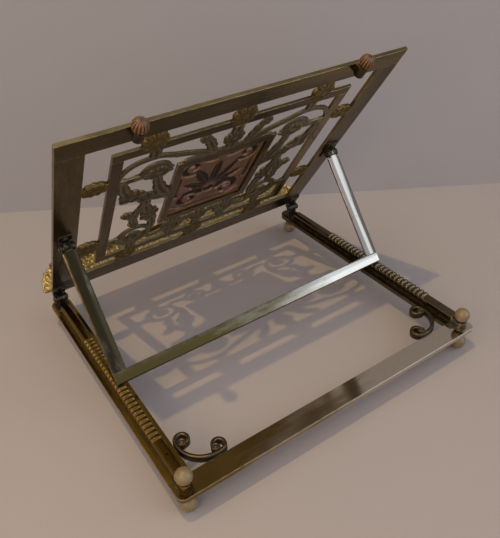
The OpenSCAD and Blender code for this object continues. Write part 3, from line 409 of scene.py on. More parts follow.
# %% Make the brasses
leg_middle = abs(sum(corner.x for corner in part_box("left_prop_leg")) / 2)
# Settings for the frame: rubbed edges and a painted highlight on its rims.
side_bar, tilted, painted_rim = dict(dents=0.04, streak=0.03), dict(turn=slope), dict(edge=0.6, rim=0.15)
prop_aged = dict(turn=-slope, dents=0.04, wear=0.25, soft=0.2, specks=0.4)
pressed_in, small_clouds = dict(cast=True, cloud=60.0), dict(cloud=60.0)
finishes = [
    ("rail brass along the sides", "rail", along_y, dict(dents=0.03, streak=0.03, wear=0.6),
     "right_rail_strip foot_collars"),
    # The crossbar's silvery end and near-white rubbed edge are partly a painted reflection of the window.
    ("rail brass across", "crossbar", along_x, dict(edge=0.9, dents=0.03, streak=0.05, soft=0.14, fade=3.0),
     "rear_crossbar"),
    ("rack brass", "rack", along_y, dict(wear=0.3, **side_bar), "right_rack_bar rack_rivets"),
    # One side rail and its rack get the brass with painted shade.
    ("darker brass along a side", "shaded", along_y, dict(wear=0.4, **side_bar),
     "left_rail_strip left_rack_bar"),
    ("frame brass across", "frame", along_x, {**tilted, **painted_rim}, "panel_top_rail"),
    ("frame brass upright", "frame", along_y, dict(fade=-0.6, **tilted, **painted_rim),
     "panel_left_stile panel_right_stile"),
    ("bar brass across", "frame", along_x, tilted,
     "panel_bottom_rail inner_top_bar inner_bottom_bar plaque_frame"),
    ("bar brass upright", "frame", along_y, tilted, "inner_left_bar inner_right_bar"),
    ("cast frame brass", "cast", all_ways, dict(dents=0.7, lumps=0.6, lump_size=2.6, **pressed_in),
     "left_scrollwork right_scrollwork crest_ornament base_ornament"),
    # The knob sockets and finial washers get this dark brass partly as painted shade under the knobs and
    # finials.
    ("bent strip brass", "strip", all_ways, dict(wear=0.3),
     "left_corner_scroll right_corner_scroll knob_sockets finial_washers"),
    # The prop's tarnish thins out towards one end, partly as a painted reflection of the window there.
    ("pale brass down the prop", "pale leg", along_y, dict(fade=3.4, camber=leg_middle, **prop_aged),
     "left_prop_leg right_prop_leg"),
    ("pale brass across the prop", "pale bar", along_x, dict(fade=8.3, **prop_aged), "prop_crossbar"),
    ("gilt rivets", "gilt", all_ways, {**tilted, **small_clouds},
     "top_leaf_tabs bottom_leaf_tabs side_leaf_tabs plaque_rivets"),
    ("gilt ledge", "ledge", along_x, dict(dents=0.9, lumps=1.0, lump_size=1.8, **tilted),
     "ledge_shelf ledge_lip left_ledge_shell right_ledge_shell ledge_pins"),
    ("gilt cast leaves", "gilt", all_ways, pressed_in, ""),
    ("gilt pressed ledge", "ledge", all_ways, pressed_in, ""),
    ("dark hinge bronze", "black", all_ways, {},
     "left_hinge_post right_hinge_post hinge_post_screws left_panel_hinge right_panel_hinge"
     " panel_hinge_screws panel_hinge_pins left_prop_hinge right_prop_hinge prop_hinge_screws"
     " prop_hinge_pins knob_studs foot_studs"),
]
brasses = {name: brass(name, metals[metal], pull, **aged) for name, metal, pull, aged, _ in finishes}
dressed = {brasses[name]: parts.split() for name, *_, parts in finishes}
print("brasses:", len(brasses))

# %% [markdown]
# ## Copper, bone and amber-stained bone
# The plaque is thin copper, embossed from the back. Its high parts are rubbed pink and its hollows
# are nearly black, and the mesh made below says which is which. Bone is cream with fine darker
# lines where it was turned, and lets a little light in, so it gets subsurface scattering. The knobs
# are the same bone stained amber, with the stain rubbed off their ribs.

# %% Make the copper
copper, tree, shader = new_material("embossed copper")
place, depth = coordinate(tree), attribute(tree, "hollow")
age = placed(tree, tarnish, {"Vector": place, "Scale": 55.0, "Cover": 0.52})
lines = placed(tree, grain, {"Vector": place, "Pull": all_ways[0]})
edges = placed(tree, edge_wear, {"Vector": place, "Amount": 0.6})["Mask"]
colour = mixed(tree, age["Cloud"], (0.42, 0.25, 0.18, 1), (0.24, 0.15, 0.095, 1))
gold_bloom = ramp(tree, noise(tree, place, 22.0, 3.0), 0.45, 0.62, 0.0, 0.8)
colour = mixed(tree, gold_bloom, colour, (0.27, 0.18, 0.085, 1))
colour = mixed(tree, ramp(tree, depth, 0.2, 0.75, 0.0, 0.94), colour, (0.02, 0.014, 0.011, 1))
fill(tree, shader, {
    "Base Color": mixed(tree, edges, colour, (0.62, 0.36, 0.24, 1)),
    "Roughness": ramp(tree, sums(tree, "MAXIMUM", depth, age["Cloud"]), 0.0, 1.0, 0.3, 0.55),
    "Metallic": ramp(tree, depth, 0.3, 1.0, 1.0, 0.6),
    "Normal": bumped(tree, lines["Height"], 0.5, 0.15 * mm),
})
print("made", copper.name)


# %% Make the two bones
def bone_finish(name, pale_part, dark_part, ribbed=False):
    """Turned bone: cream with darker growth lines, or stained with the stain rubbed off its ribs."""
    material, tree, shader = new_material(name)
    place = coordinate(tree)
    clouds = noise(tree, place, 190.0, 4.0)
    pores = noise(tree, stretched(tree, place, (2400, 2400, 700)), 1.0, 2.0)
    if ribbed:
        kept = ramp(tree, attribute(tree, "rib"), 0.35, 0.95, 0.75, -0.2)
        stain = sums(tree, "MULTIPLY_ADD", clouds, 0.5, kept)
    else:
        stain = sums(tree, "MULTIPLY_ADD", ramp(tree, pores, 0.6, 0.75), 0.3, ramp(tree, clouds, 0.4, 0.75))
    fill(tree, shader, {
        "Base Color": mixed(tree, ramp(tree, stain, 0.05, 1.0), (*pale_part, 1), (*dark_part, 1)),
        "Roughness": ramp(tree, pores, 0.3, 0.7, 0.26, 0.42),
        "Normal": bumped(tree, pores, 0.25, 0.08 * mm),
        "Subsurface Weight": 0.2, "Subsurface Scale": 1.5 * mm, "Coat Weight": 0.25,
    })
    return material


bone = bone_finish("turned bone", (0.225, 0.165, 0.07), (0.165, 0.105, 0.034))
amber_bone = bone_finish("amber bone", (0.20, 0.086, 0.009), (0.022, 0.008, 0.002), ribbed=True)
print("made", bone.name, "and", amber_bone.name)

# %% [markdown]
# ## Dress the CAD nodes
# A CAD edge is perfectly sharp, and nothing real is. Weld joins the triangles that the exchange file
# left apart, Decimate clears the lines between triangles of one flat face, and Bevel with an angle
# limit rounds only true edges, by a third of a millimetre. All three are modifiers, so the CAD meshes
# stay as they are. The prop's legs are brazed to its crossbar without a line, so they get no bevel,
# and Weighted Normal keeps their broad faces flat to the eye. Each node then gets its finish.

# %% Round the edges and give the finishes
sides = ("left", "right")
feet = [f"{end}_{side}_foot" for end in ("front", "rear") for side in sides]
finials = [f"{side}_finial_ball" for side in sides]
dressed.update({copper: ["copper_plaque"], bone: feet + finials, amber_bone: ["left_knob", "right_knob"]})


def modify(part, name, kind, **settings):
    """Adds a modifier to a CAD node and sets it up."""
    modifier = part.modifiers.new(name, kind)
    for key, value in settings.items():
        setattr(modifier, key, value)


for material, names in dressed.items():
    for part in (nodes[name] for name in names):
        part.data.materials.clear()
        part.data.materials.append(material)
        modify(part, "join the triangles", "WELD", merge_threshold=0.002 * mm)
        modify(part, "clear the flat faces", "DECIMATE", decimate_type="DISSOLVE",
               angle_limit=math.radians(0.5))
        if "the prop" in material.name:
            modify(part, "keep the flat faces flat", "WEIGHTED_NORMAL", weight=100)
        else:
            modify(part, "round the edges", "BEVEL", width=0.3 * mm, segments=2, limit_method="ANGLE",
                   angle_limit=math.radians(35), harden_normals=True)
print("dressed", sum(len(names) for names in dressed.values()), "CAD nodes")

# %% [markdown]
# ## Helpers for new pieces
# Some pieces need finer shapes than the CAD has. Each is built as a grid of points in millimetres,
# skinned with quads, and put on the body that carries it. A vertex attribute can go with the points,
# such as how deep a point lies in the relief. The finish reads it.

# %% Write the mesh helpers
def skin(rows, columns, wrap=True, caps=False):
    """Quads between the rows of a grid. With wrap, each row closes into a ring."""
    last = columns if wrap else columns - 1
    faces = []
    for row in range(rows - 1):
        for column in range(last):
            after = (column + 1) % columns
            low, high = row * columns, (row + 1) * columns
            faces.append((low + column, low + after, high + after, high + column))
    if caps:
        faces.append(tuple(range(columns)))
        faces.append(tuple(range((rows - 1) * columns, rows * columns)))
    return faces


def two_faced(one, other, values):
    """A thin sheet: two grids of points, skinned and joined along their rims."""
    rows, columns = one.shape[:2]
    count = rows * columns
    faces = skin(rows, columns, wrap=False)
    faces += [tuple(index + count for index in face) for face in faces]
    rim = list(range(columns)) + [r * columns + columns - 1 for r in range(1, rows)]
    rim += list(range(count - 2, count - columns - 1, -1)) + [r * columns for r in range(rows - 2, 0, -1)]
    faces += [(a, b, b + count, a + count) for a, b in zip(rim, rim[1:] + rim[:1])]
    return np.concatenate([one.reshape(-1, 3), other.reshape(-1, 3)]), np.concatenate(values), faces


def points_of(*axes):
    """Points from their coordinates, where a single number holds for all of them."""
    return np.stack(np.broadcast_arrays(*axes), axis=-1)


def joined(parts):
    """One mesh from several: their points, their values and their faces."""
    faces, start = [], 0
    for points, values, own_faces in parts:
        faces += [tuple(index + start for index in face) for face in own_faces]
        start += len(points)
    return np.concatenate([part[0] for part in parts]), np.concatenate([part[1] for part in parts]), faces


def new_piece(name, shape, body, material, replaced, carries="hollow", place=None):
    """A smooth mesh that rides on a body and stands in for CAD nodes."""
    points, values, faces = shape
    mesh = bpy.data.meshes.new(name)
    mesh.from_pydata((np.asarray(points) * mm).tolist(), [], faces)
    layer = mesh.attributes.new(carries, "FLOAT", "POINT")
    layer.data.foreach_set("value", np.asarray(values, dtype=np.float32))
    raw = bmesh.new()
    raw.from_mesh(mesh)
    bmesh.ops.recalc_face_normals(raw, faces=raw.faces)
    raw.to_mesh(mesh)
    raw.free()
    mesh.shade_smooth()
    mesh.materials.append(material)
    piece = bpy.data.objects.new(name, mesh)
    scene.collection.objects.link(piece)
    piece.matrix_world = place or Matrix()
    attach(piece, body)
    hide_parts(*replaced)
    return piece


def panel_piece(name, shape, finish, node):
    """A piece drawn in the panel's own directions, in one of the brasses."""
    return new_piece(name, shape, "panel", brasses[finish], [node], place=panel_frame)


print("mesh helpers ready")

# %% [markdown]
# ## Turned bone
# Feet and finials come off a lathe: a ball with a worn or seated flat at each end and a few fine
# lines where the tool rested. The profile is a half circle of radii, and each line is a narrow dip in
# it. The knobs are turned the same way and then cut into ribs like a melon. Their attribute is 1 on
# the crest of a rib and 0 in the groove between two, and a middling value marks a small plug at the
# pole.

# %% Turn the feet and the finials
plug_share, plug_value = 0.22, 0.45


def lathe(profile, columns, flutes=0, flute_depth=0.0):
    """A turned shape from radii and heights, with ribs cut round it if asked."""
    around = np.linspace(0, 2 * math.pi, columns, endpoint=False)
    crest = np.abs(np.cos(around * flutes / 2)) if flutes else np.ones(columns)
    radii, heights = np.array(profile).T
    swell = np.sqrt(np.clip(radii / radii.max(), 0, 1))
    cut = 1 - flute_depth * np.outer(swell, (1 - crest) ** 1.4)
    wide = radii[:, None] * cut
    points = points_of(wide * np.cos(around), wide * np.sin(around), heights[:, None])
    values = np.where(radii[:, None] < plug_share * radii.max(), plug_value, 0 * wide + crest)
    return points.reshape(-1, 3), values.ravel(), skin(len(radii), columns, caps=True)


def ball_profile(diameter, bottom_flat, top_flat, lines, steps=72):
    """Radii and heights of a ball that stands on height 0, with fine lines turned at some angles."""
    radius, line_wide, line_deep, pole = diameter / 2, 0.035, 0.11, 0.02
    start = math.acos(1 - bottom_flat / radius) if bottom_flat else pole
    stop = math.pi - (math.acos(1 - top_flat / radius) if top_flat else pole)
    angles = np.linspace(start, stop, steps)
    reach = radius - line_deep * sum(np.exp(-((angles - line) / line_wide) ** 2) for line in lines)
    return list(zip(reach * np.sin(angles), radius - bottom_flat - reach * np.cos(angles)))


foot_d, finial_d, ball_columns = 12.0, 11.1, 64
foot = lathe(ball_profile(foot_d, 0.3, 0.5, (0.9, 1.5, 1.64, 2.3)), ball_columns)
finial = lathe(ball_profile(finial_d, 0.5, 0.0, (1.57, 2.5, 2.82)), ball_columns)
for node in feet + finials:
    low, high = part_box(node)
    spot = Matrix.Translation(((low.x + high.x) / 2, (low.y + high.y) / 2, low.z))
    ball = foot if node in feet else finial
    new_piece(f"turned_{node}", ball, "base", bone, [node], "rib", spot)
print("turned", len(feet), "feet and", len(finials), "finials")

# %% Cut the melon knobs
knob_d, knob_ribs, rib_columns, rib_depth = 10.0, 14, 12, 0.14
knob_profile = ball_profile(knob_d, 0.5, 0.12, (2.75,), 40)
melon = lathe(knob_profile, knob_ribs * rib_columns, knob_ribs, rib_depth)
lay_along = Matrix.Rotation(math.radians(-90), 4, "X")
for side in sides:
    node = f"{side}_knob"
    low, high = panel_span(node)
    foot_of_knob = Vector(((low.x + high.x) / 2, low.y, (low.z + high.z) / 2)) * mm
    spot = panel_frame @ Matrix.Translation(foot_of_knob) @ lay_along
    new_piece(f"melon_{node}", melon, "panel", amber_bone, [node], "rib", spot)
print("cut 2 knobs of", knob_ribs, "ribs")

# %% [markdown]
# ## Cast scrollwork
# The CAD holds the scrollwork as flat pierced plates. Cast scrolls are rounded on both faces, have a
# gouge along the middle of the front, and their leaves have nicked edges. So each stem is swept
# again: a path across the panel carries a closed section of half-widths and half-heights. The third
# number of each section point is how deep it lies, which goes into the attribute.

# %% Measure the field that the scrolls fill
frame_low, frame_high = panel_span("plaque_frame")
field_x = panel_span("inner_right_bar")[0].x
field_v0, field_v1 = panel_span("inner_bottom_bar")[1].y, panel_span("inner_top_bar")[0].y
fret_low, fret_high = (corner.z for corner in panel_span("left_scrollwork"))
plaque_x, plaque_half = frame_high.x, (frame_high.y - frame_low.y) / 2
field_mid, field_half = (field_v0 + field_v1) / 2, (field_v1 - field_v0) / 2
side_field, mid_field = field_x - plaque_x, field_half - plaque_half
fret_mid, fret_half = (fret_low + fret_high) / 2, (fret_high - fret_low) / 2
band_w, bud_d = 4.4, 9.0
print(f"side fields {side_field:.1f} mm wide, {2 * field_half:.1f} mm high")

# %% Draw the sections
def there_and_back(points):
    """Section points up to the middle, and the same on the other side of it."""
    return points + [(-across, height, deep) for across, height, deep in points[-2::-1]]


front_half = [(-1, 0, 0.5), (-0.93, 0.5, 0.3), (-0.72, 0.9, 0.05), (-0.46, 1.05, 0), (-0.2, 0.66, 0.6),
              (0, 0.5, 1)]
back_half = [(0.95, -0.5, 0.45), (0.78, -0.86, 0.1), (0.5, -1, 0), (0.16, -0.96, 0.1), (0, -0.86, 0.55)]
section = np.array(there_and_back(front_half) + there_and_back(back_half))
strip_half = [(-1, -1, 0.5), (-1, 0.6, 0.2), (-0.7, 1, 0)]
strip_section = np.array(strip_half + [(-across, *rest) for across, *rest in strip_half[::-1]])
dome_steps = [(0.02, 1.0, 0.1), (0.2, 0.97, 0.1), (0.34, 0.8, 0.9), (0.46, 0.86, 0.7), (0.62, 1.0, 0.0),
              (0.82, 0.9, 0.05), (0.95, 0.55, 0.3), (1.0, 0.0, 0.5)]
rim_points = 72
print("section of", len(section), "points")


# %% Write the swept band, the leaf and the bud
def bezier(points, count):
    """A smooth path that starts at the first point, ends at the last, and is steered by the others."""
    t = np.linspace(0, 1, count)[:, None]
    a, b, c, d = (np.array(point, dtype=float) for point in points)
    return a * (1 - t) ** 3 + 3 * b * t * (1 - t) ** 2 + 3 * c * t ** 2 * (1 - t) + d * t ** 3


def spiral(centre, start_r, end_r, start, stop, count):
    """A path that winds from one radius to another between two angles in degrees."""
    turn = np.radians(np.linspace(start, stop, count))
    reach = np.linspace(start_r, end_r, count)
    return np.array(centre) + points_of(reach * np.cos(turn), reach * np.sin(turn))


def band(path, widths, nicks=0, shape=section, middle=fret_mid, half=fret_half):
    """A band along a path: one width, or those at its start, middle and end, and nicks in its edges."""
    t = np.linspace(0, 1, len(path))
    first, second, third = np.ones(3) * widths
    wide = first * (1 - t) * (1 - 2 * t) + 4 * second * t * (1 - t) + third * t * (2 * t - 1)
    if nicks:
        wide = wide * (0.8 + 0.36 * np.abs(np.sin(math.pi * nicks * t)) ** 0.6)
    ahead = np.gradient(path, axis=0)
    ahead /= np.linalg.norm(ahead, axis=1)[:, None]
    across = points_of(-ahead[:, 1], ahead[:, 0])
    flat = path[:, None, :] + across[:, None, :] * (wide[:, None] / 2 * shape[:, 0])[..., None]
    points = points_of(flat[..., 0], flat[..., 1], middle + half * shape[:, 1]).reshape(-1, 3)
    return points, np.tile(shape[:, 2], len(path)), skin(len(path), len(shape), caps=True)


def lobed(centre, wide, tall, lobes=0, lobe_depth=0.0, high=1.15, turn=0.0, middle=fret_mid, half=fret_half):
    """A round bud, or a leaf with lobes and veins, domed on both faces."""
    around = np.linspace(0, 2 * math.pi, rim_points, endpoint=False)
    beat = np.abs(np.cos(lobes * (around - turn) / 2)) if lobes else 0 * around + 1
    rim = 1 - lobe_depth * (1 - beat ** 0.7)
    rows, deeps = [], []
    for facing, order in ((1, dome_steps), (-1, dome_steps[-2::-1])):
        for reach, height, deep in order:
            vein = (1 - beat ** 0.5) * min(1, reach * 1.6)
            lift = half * high * height * (1 - 0.28 * vein) * facing
            x = centre[0] + wide / 2 * reach * rim * np.cos(around)
            v = centre[1] + tall / 2 * reach * rim * np.sin(around)
            rows.append(points_of(x, v, middle + lift))
            deeps.append(np.clip((0.3 * deep if lobes else deep) + 0.6 * vein, 0, 1))
    return np.concatenate(rows), np.concatenate(deeps), skin(len(rows), len(around), caps=True)


def stem(path, widths, nicks=0):
    """A band of the scrollwork, with widths as shares of its usual one."""
    return band(path, np.multiply(widths, band_w), nicks)


def ringed(centre, reach, stop, eye, count):
    """A ring with a tendril that winds in from it to a bud."""
    return [stem(spiral(centre, reach, reach, 0, 360, count), 1),
            stem(spiral(centre, reach, 0.3 * reach, 100, stop, count - 10), (1, 0.8, 0.7)),
            lobed(centre, eye * reach, eye * reach, high=1.25)]


print("scrolls can be swept")

# %% [markdown]
# A side field holds an arch over a big curl, leafy stems with buds under it, and a ring with a
# tendril at the bottom. Places in it run from 0 at the plaque to 1 at the inner bar, and from -1 at
# the bottom to 1 at the top, so the same drawing serves both sides.

# %% Sweep the two side fields
side_stems = [  # four points of the path, widths, count of points, nicks
    ([(1.05, 0.6), (1, 0.82), (0.78, 0.88), (0.46, 0.88)], 1, 30, 0),
    ([(0.48, 0.88), (0.26, 0.88), (0.16, 0.8), (-0.1, 0.78)], (1, 1.1, 1.2), 30, 0),
    ([(0.93, 0.64), (0.96, 0.36), (0.7, 0.12), (-0.04, 0.06)], (1.2, 2.2, 1.6), 60, 6),
    ([(0.32, 0.5), (0.28, 0.32), (0.16, 0.16), (-0.06, 0.02)], (1.2, 2.2, 2.2), 40, 4),
    ([(0.42, 0.1), (0.42, -0.2), (0.1, -0.32), (0.16, -0.66)], (1.6, 1.9, 1.3), 50, 5),
    ([(0.72, -0.14), (0.62, -0.24), (0.54, -0.3), (0.5, -0.5)], (1.0, 1.3, 1.3), 40, 4),
    ([(0.4, 0.02), (0.54, -0.12), (0.62, -0.24), (0.54, -0.42)], (1.2, 1.6, 1.1), 40, 4),
    ([(0.24, -0.8), (0.18, -0.9), (0.08, -0.9), (-0.1, -0.86)], 1, 30, 0),
]
side_leaves = [  # place, width, height, lobes, turn
    ((0.34, 0.59), 25, 15, 9, 0), ((0.72, 0.25), 21, 17, 5, 0.5), ((0.46, 0.16), 17, 13, 5, 2.6),
    ((0.27, -0.27), 16, 22, 7, 1.2), ((0.72, -0.15), 1.1 * bud_d, bud_d, 5, 0),
    ((0.55, -0.4), bud_d, 0.9 * bud_d, 5, 0),
]
side_links = [  # place, width, height
    ((0.48, 0.95), 2 * band_w, 0.16 * field_half), ((0.82, 0.6), 0.5 * side_field, 1.2 * band_w),
    ((0.48, -0.97), 2 * band_w, 0.22 * field_half), ((0.9, -0.68), 0.32 * side_field, 1.4 * band_w),
]


def side_scrolls(facing):
    """The scrollwork of one side, where facing is 1 on the reader's right and -1 on the left."""
    def at(spot):
        return (plaque_x + spot[0] * side_field, field_mid + spot[1] * field_half)

    curl_r, ring_r = side_field * 0.27, side_field * 0.3
    parts = [stem(bezier([at(point) for point in path], count), widths, nicks)
             for path, widths, count, nicks in side_stems]
    parts += [lobed(at(spot), wide, tall, lobes, 0.3, 1.25, turn=turn)
              for spot, wide, tall, lobes, turn in side_leaves]
    parts.append(stem(spiral(at((0.36, 0.6)), curl_r, curl_r * 0.34, -10, 440, 90), (1.1, 1.1, 0.7)))
    parts += ringed(at((0.48, -0.7)), ring_r, -230, 0.8, 70)
    for spot, wide, tall in side_links:
        x, v = at(spot)
        ends = [(x, v + share * tall) for share in (-1 / 2, -1 / 6, 1 / 6, 1 / 2)]
        parts.append(band(bezier(ends, 8), wide))
    points, deep, faces = joined(parts)
    return points * (facing, 1, 1), deep, faces


for side, facing in zip(sides, (-1, 1)):
    name, node = f"cast_{side}_scrolls", f"{side}_scrollwork"
    piece = panel_piece(name, side_scrolls(facing), "cast frame brass", node)
    print(piece.name, len(piece.data.vertices), "points")

# %% [markdown]
# Above the plaque stands a palmette between two curled leaves, and below it hangs one between two
# volutes. Both are drawn on one side of the middle and mirrored.

# %% Sweep the crest and the base ornament
def mid_scrolls(facing, arms, buds, volutes):
    """An ornament above the plaque, facing 1, or below it, facing -1."""
    def at(spot):
        return (spot[0] * plaque_x, plaque_half + spot[1] * mid_field)

    neck = bezier([at((0, b)) for b in (0, 0.3, 0.7, 1)], 16)
    palmette = lobed(at((0, 0.47)), 1.9 * bud_d, 1.8 * bud_d, 9, 0.16, 1.35, turn=math.pi / 2)
    half = [stem(bezier([at(point) for point in path], 40), widths, nicks) for path, widths, nicks in arms]
    half += [lobed(at(spot), bud_d, bud_d, 5, 0.2, 1.2) for spot in buds]
    for centre, reach in volutes:
        half += ringed(at(centre), reach * mid_field, 430, 0.72, 60)
    points, deep, faces = joined(half)
    both = [(points, deep, faces), (points * (-1, 1, 1), deep, faces)]
    points, deep, faces = joined([stem(neck, 2.2), palmette] + both)
    return points * (1, facing, 1) + (0, field_mid, 0), deep, faces


crest_arms = [
    ([(0, 0.02), (0.3, 0.02), (0.6, 0.02), (0.88, 0.02)], (1.4, 1.4, 1.0), 0),
    ([(1.1, 0.48), (0.8, 0.38), (0.56, 0.24), (0.3, 0.02)], (1.1, 1.2, 1.2), 0),
    ([(0.32, 0), (0.4, 0.36), (0.46, 0.6), (0.6, 0.84)], (1.2, 1.7, 1.2), 4),
]
base_arms = [
    ([(1.1, 0.68), (1, 0.66), (0.92, 0.6), (0.8, 0.56)], 1, 0),
    ([(0.44, 0.36), (0.34, 0.2), (0.16, 0.3), (0, 0.4)], (1, 1.4, 1), 3),
    ([(0.62, -0.05), (0.62, 0.05), (0.62, 0.12), (0.62, 0.2)], 2, 0),
    ([(0.62, 0.8), (0.62, 0.88), (0.62, 0.96), (0.62, 1.05)], 2, 0),
]
crest = mid_scrolls(1, crest_arms, [(0.6, 0.8)], [])
base_ornament = mid_scrolls(-1, base_arms, [], [((0.62, 0.5), 0.31)])
panel_piece("cast_crest", crest, "cast frame brass", "crest_ornament")
panel_piece("cast_base_ornament", base_ornament, "cast frame brass", "base_ornament")
print("swept the crest and the base ornament")

# %% [markdown]
# ## Bent corner scrolls
# In each rear corner a strip on edge is bent to a C. Its back is part of a circle, and each end
# curls in to a small ball. It is swept with a plain section that is rounded along its top.

# %% Bend the corner scrolls
corner_r, curl_start, curl_end, strip_t, ball_d, scroll_rise = 18.6, 5.0, 2.8, 2.7, 6.4, 2.0
overrun, curl_turn = 14, 290


def corner_scroll(node, facing):
    """One corner scroll, bent round a point that lies in from the rail and forward of the crossbar."""
    low, high = base_span(node)
    middle, half = (low.z + high.z) / 2 + 0.75 * scroll_rise, (high.z - low.z) / 2 + 0.25 * scroll_rise
    rail_x, bar_y = base_span("right_rail_strip")[0].x, base_span("rear_crossbar")[0].y

    def bent(path, widths):
        return band(path, widths, 0, strip_section, middle, half)

    c = np.ones(2) * (corner_r + strip_t / 2)
    back_start, back_stop = 180 - overrun, 270 + overrun
    parts = [bent(spiral(c, corner_r, corner_r, back_start, back_stop, 50), strip_t)]
    for angle, way in ((back_start, -1), (back_stop, 1)):
        turn = math.radians(angle)
        eye = c + (corner_r - curl_start) * np.array((math.cos(turn), math.sin(turn)))
        path = spiral(eye, curl_start, curl_end, angle, angle + way * curl_turn, 50)
        parts.append(bent(path, (strip_t, strip_t, 1.1 * strip_t)))
        parts.append(lobed(path[-1], ball_d, ball_d, high=1.2, middle=middle, half=half))
    points, deep, faces = joined(parts)
    x, y, z = points.T
    return points_of(facing * (rail_x - x), bar_y - y, z), deep, faces


for side, facing in zip(sides, (-1, 1)):
    node = f"{side}_corner_scroll"
    scroll = corner_scroll(node, facing)
    new_piece(f"bent_{node}", scroll, "base", brasses["bent strip brass"], [node])
print("bent 2 corner scrolls")

# %% [markdown]
# ## Notched rack bars
# The bars that the prop stands on are filed from half-round stock, so their top edges are rounded
# and the notches are soft. Each bar is a row of sections along its length: the height of a section
# follows the notches, drops where the finial sits, and its width closes in a half circle at the end.

# %% File the rack bars
pitch, ridges, ridge_h, shoulder_r, row_from_hinge, finial_room = 4.4, 27, 1.2, 2.3, 62.5, 6.3
row_steps, seat_steps, end_steps = 760, 12, 18
corner_turn = np.radians(np.linspace(0, 90, 6))


def rack_bar(node):
    """One rack bar: sections along its length with rounded shoulders, and ridges across its top."""
    low, high = base_span(node)
    post_low, post_high = base_span("finial_washers")
    rear_y, row_y = (post_low.y + post_high.y) / 2, hinge_axis.y / mm + row_from_hinge
    step_y, wide, full = rear_y - finial_room, (high.x - low.x) / 2, high.z - ridge_h - low.z
    round_end = rear_y + wide * np.sin(np.radians(np.linspace(5, 89, end_steps)))
    seat = np.linspace(step_y + 0.3, rear_y, seat_steps)
    y = np.concatenate([np.linspace(low.y, step_y, row_steps), [step_y + 0.02], seat, round_end])
    place_in_row = (y - row_y) / pitch + 1
    in_row = (place_in_row > 0) & (place_in_row < ridges)
    wave = np.clip(0.5 - 0.85 * np.cos(2 * math.pi * place_in_row), 0, 1)
    tall = np.where(y <= step_y, full + ridge_h * wave * in_row, post_low.z - low.z)
    reach = np.where(y > rear_y, np.sqrt(np.clip(wide ** 2 - (y - rear_y) ** 2, 0.01, None)), wide)
    rows = []
    for at_y, height, half in zip(y, tall, reach):
        r = min(shoulder_r, 0.9 * half)
        out, up = half - r + r * np.cos(corner_turn), height - r + r * np.sin(corner_turn)
        across = (low.x + high.x) / 2 + np.concatenate([[half], out, -out[::-1], [-half]])
        rise = low.z + np.concatenate([[0], up, up[::-1], [0]])
        rows.append(points_of(across, at_y, rise))
    columns = len(rows[0])
    deep = np.repeat(np.where(in_row, 1 - wave, 0), columns)
    return np.concatenate(rows), deep, skin(len(rows), columns, caps=True)


for side in sides:
    node = f"{side}_rack_bar"
    new_piece(f"filed_{node}", rack_bar(node), "base", nodes[node].data.materials[0], [node])
print("filed 2 rack bars with", ridges, "ridges each")

# %% [markdown]
# ## Embossed copper plaque
# Thin copper is embossed from behind: hammer and punch push it out towards the reader, and each
# raised form is a hollow at the back. So the plaque is one height field with two faces. Its forms
# are a palmette of seven leaves, two pairs of scrolls, small shoots and a row of beads round the
# border. Every form is a distance turned into a height, and the highest form wins.

# %% Lay out the sheet
sheet_low, sheet_high = panel_span("copper_plaque")
sheet_half_x, sheet_half_v = sheet_high.x, (sheet_high.y - sheet_low.y) / 2
sheet_mid_v, sheet_t, relief_h, step = (sheet_high.y + sheet_low.y) / 2, 0.9, 2.9, 0.5
halves = (sheet_half_x, sheet_half_v)
U, V = np.meshgrid(*(np.linspace(-half, half, round(2 * half / step) + 1) for half in halves))


def dome(distance, reach):
    """A smooth mound: 1 at no distance and 0 from the given reach on."""
    return np.sqrt(np.clip(1 - (distance / reach) ** 2, 0, 1))


def oval(centre_x, centre_v, long_r, short_r, angle):
    """Distance from a middle, measured so that 1 is the rim of an oval lying at an angle."""
    along = (U - centre_x) * math.cos(angle) + (V - centre_v) * math.sin(angle)
    over = (V - centre_v) * math.cos(angle) - (U - centre_x) * math.sin(angle)
    return np.hypot(along / long_r, over / short_r), over / short_r


def ridge(path, half_width):
    """A raised line along a path, round on top and thinner towards its end."""
    height = 0 * U
    for index, (x, v) in enumerate(path):
        thin = half_width * (1 - 0.45 * index / len(path))
        height = np.maximum(height, dome(np.hypot(U - x, V - v), thin))
    return height


print(f"sheet of {U.shape[1]} by {U.shape[0]} points")

# %% Raise the relief
foot_v, leaf_start, spread = -13.0, 4, 0.5
forms = [dome(np.hypot(U, V - foot_v + 2), 5.2)]
for fan, (length, wide) in enumerate(((17.5, 4.6), (16.5, 4.6), (13.5, 4.4), (10.5, 4.0))):
    for side in (-1, 1):
        way, out = math.pi / 2 + side * fan * spread, length + leaf_start
        rim, over = oval(out * math.cos(way), foot_v + out * math.sin(way), length, wide, way)
        forms.append(0.95 * dome(rim, 1) * (1 - 0.35 * np.exp(-(over / 0.15) ** 2)))
for side in (-1, 1):
    lines = [  # path, half width, height
        (spiral((17, -22.5), 10.5, 3.0, 150, -260, 90), 3.4, 0.85),
        (spiral((23, 25), 8.6, 2.6, 230, 600, 80), 3.0, 0.75),
        (bezier([(0, -33), (8, -34), (20, -36), (30, -28)], 40), 2.6, 0.6),
        (bezier([(30, -12), (33, -4), (29, 6), (31, 15)], 40), 2.6, 0.6),
    ]
    forms += [tall * ridge(path * (side, 1), wide) for path, wide, tall in lines]
    forms.append(0.7 * dome(oval(side * 10, 31, 7.5, 3.4, side * 0.25)[0], 1))
bead, border = 2.4, 4.6
past_x, past_v = np.abs(U) - (sheet_half_x - border), np.abs(V) - (sheet_half_v - border)
edge, run = np.maximum(past_x, past_v), np.where(past_x > past_v, V, U)
forms.append(0.36 * dome(np.hypot(edge, (run + bead / 2) % bead - bead / 2), 0.95 * bead / 2))
relief = np.max(forms, axis=0)
print(f"relief of {len(forms)} forms, {relief_h} mm high")

# %% [markdown]
# The front face follows the back at the sheet's thickness. Fine noise keeps the hammered ground
# uneven. The attribute is the relief itself at the back, where the hollows are, and its opposite at
# the front.

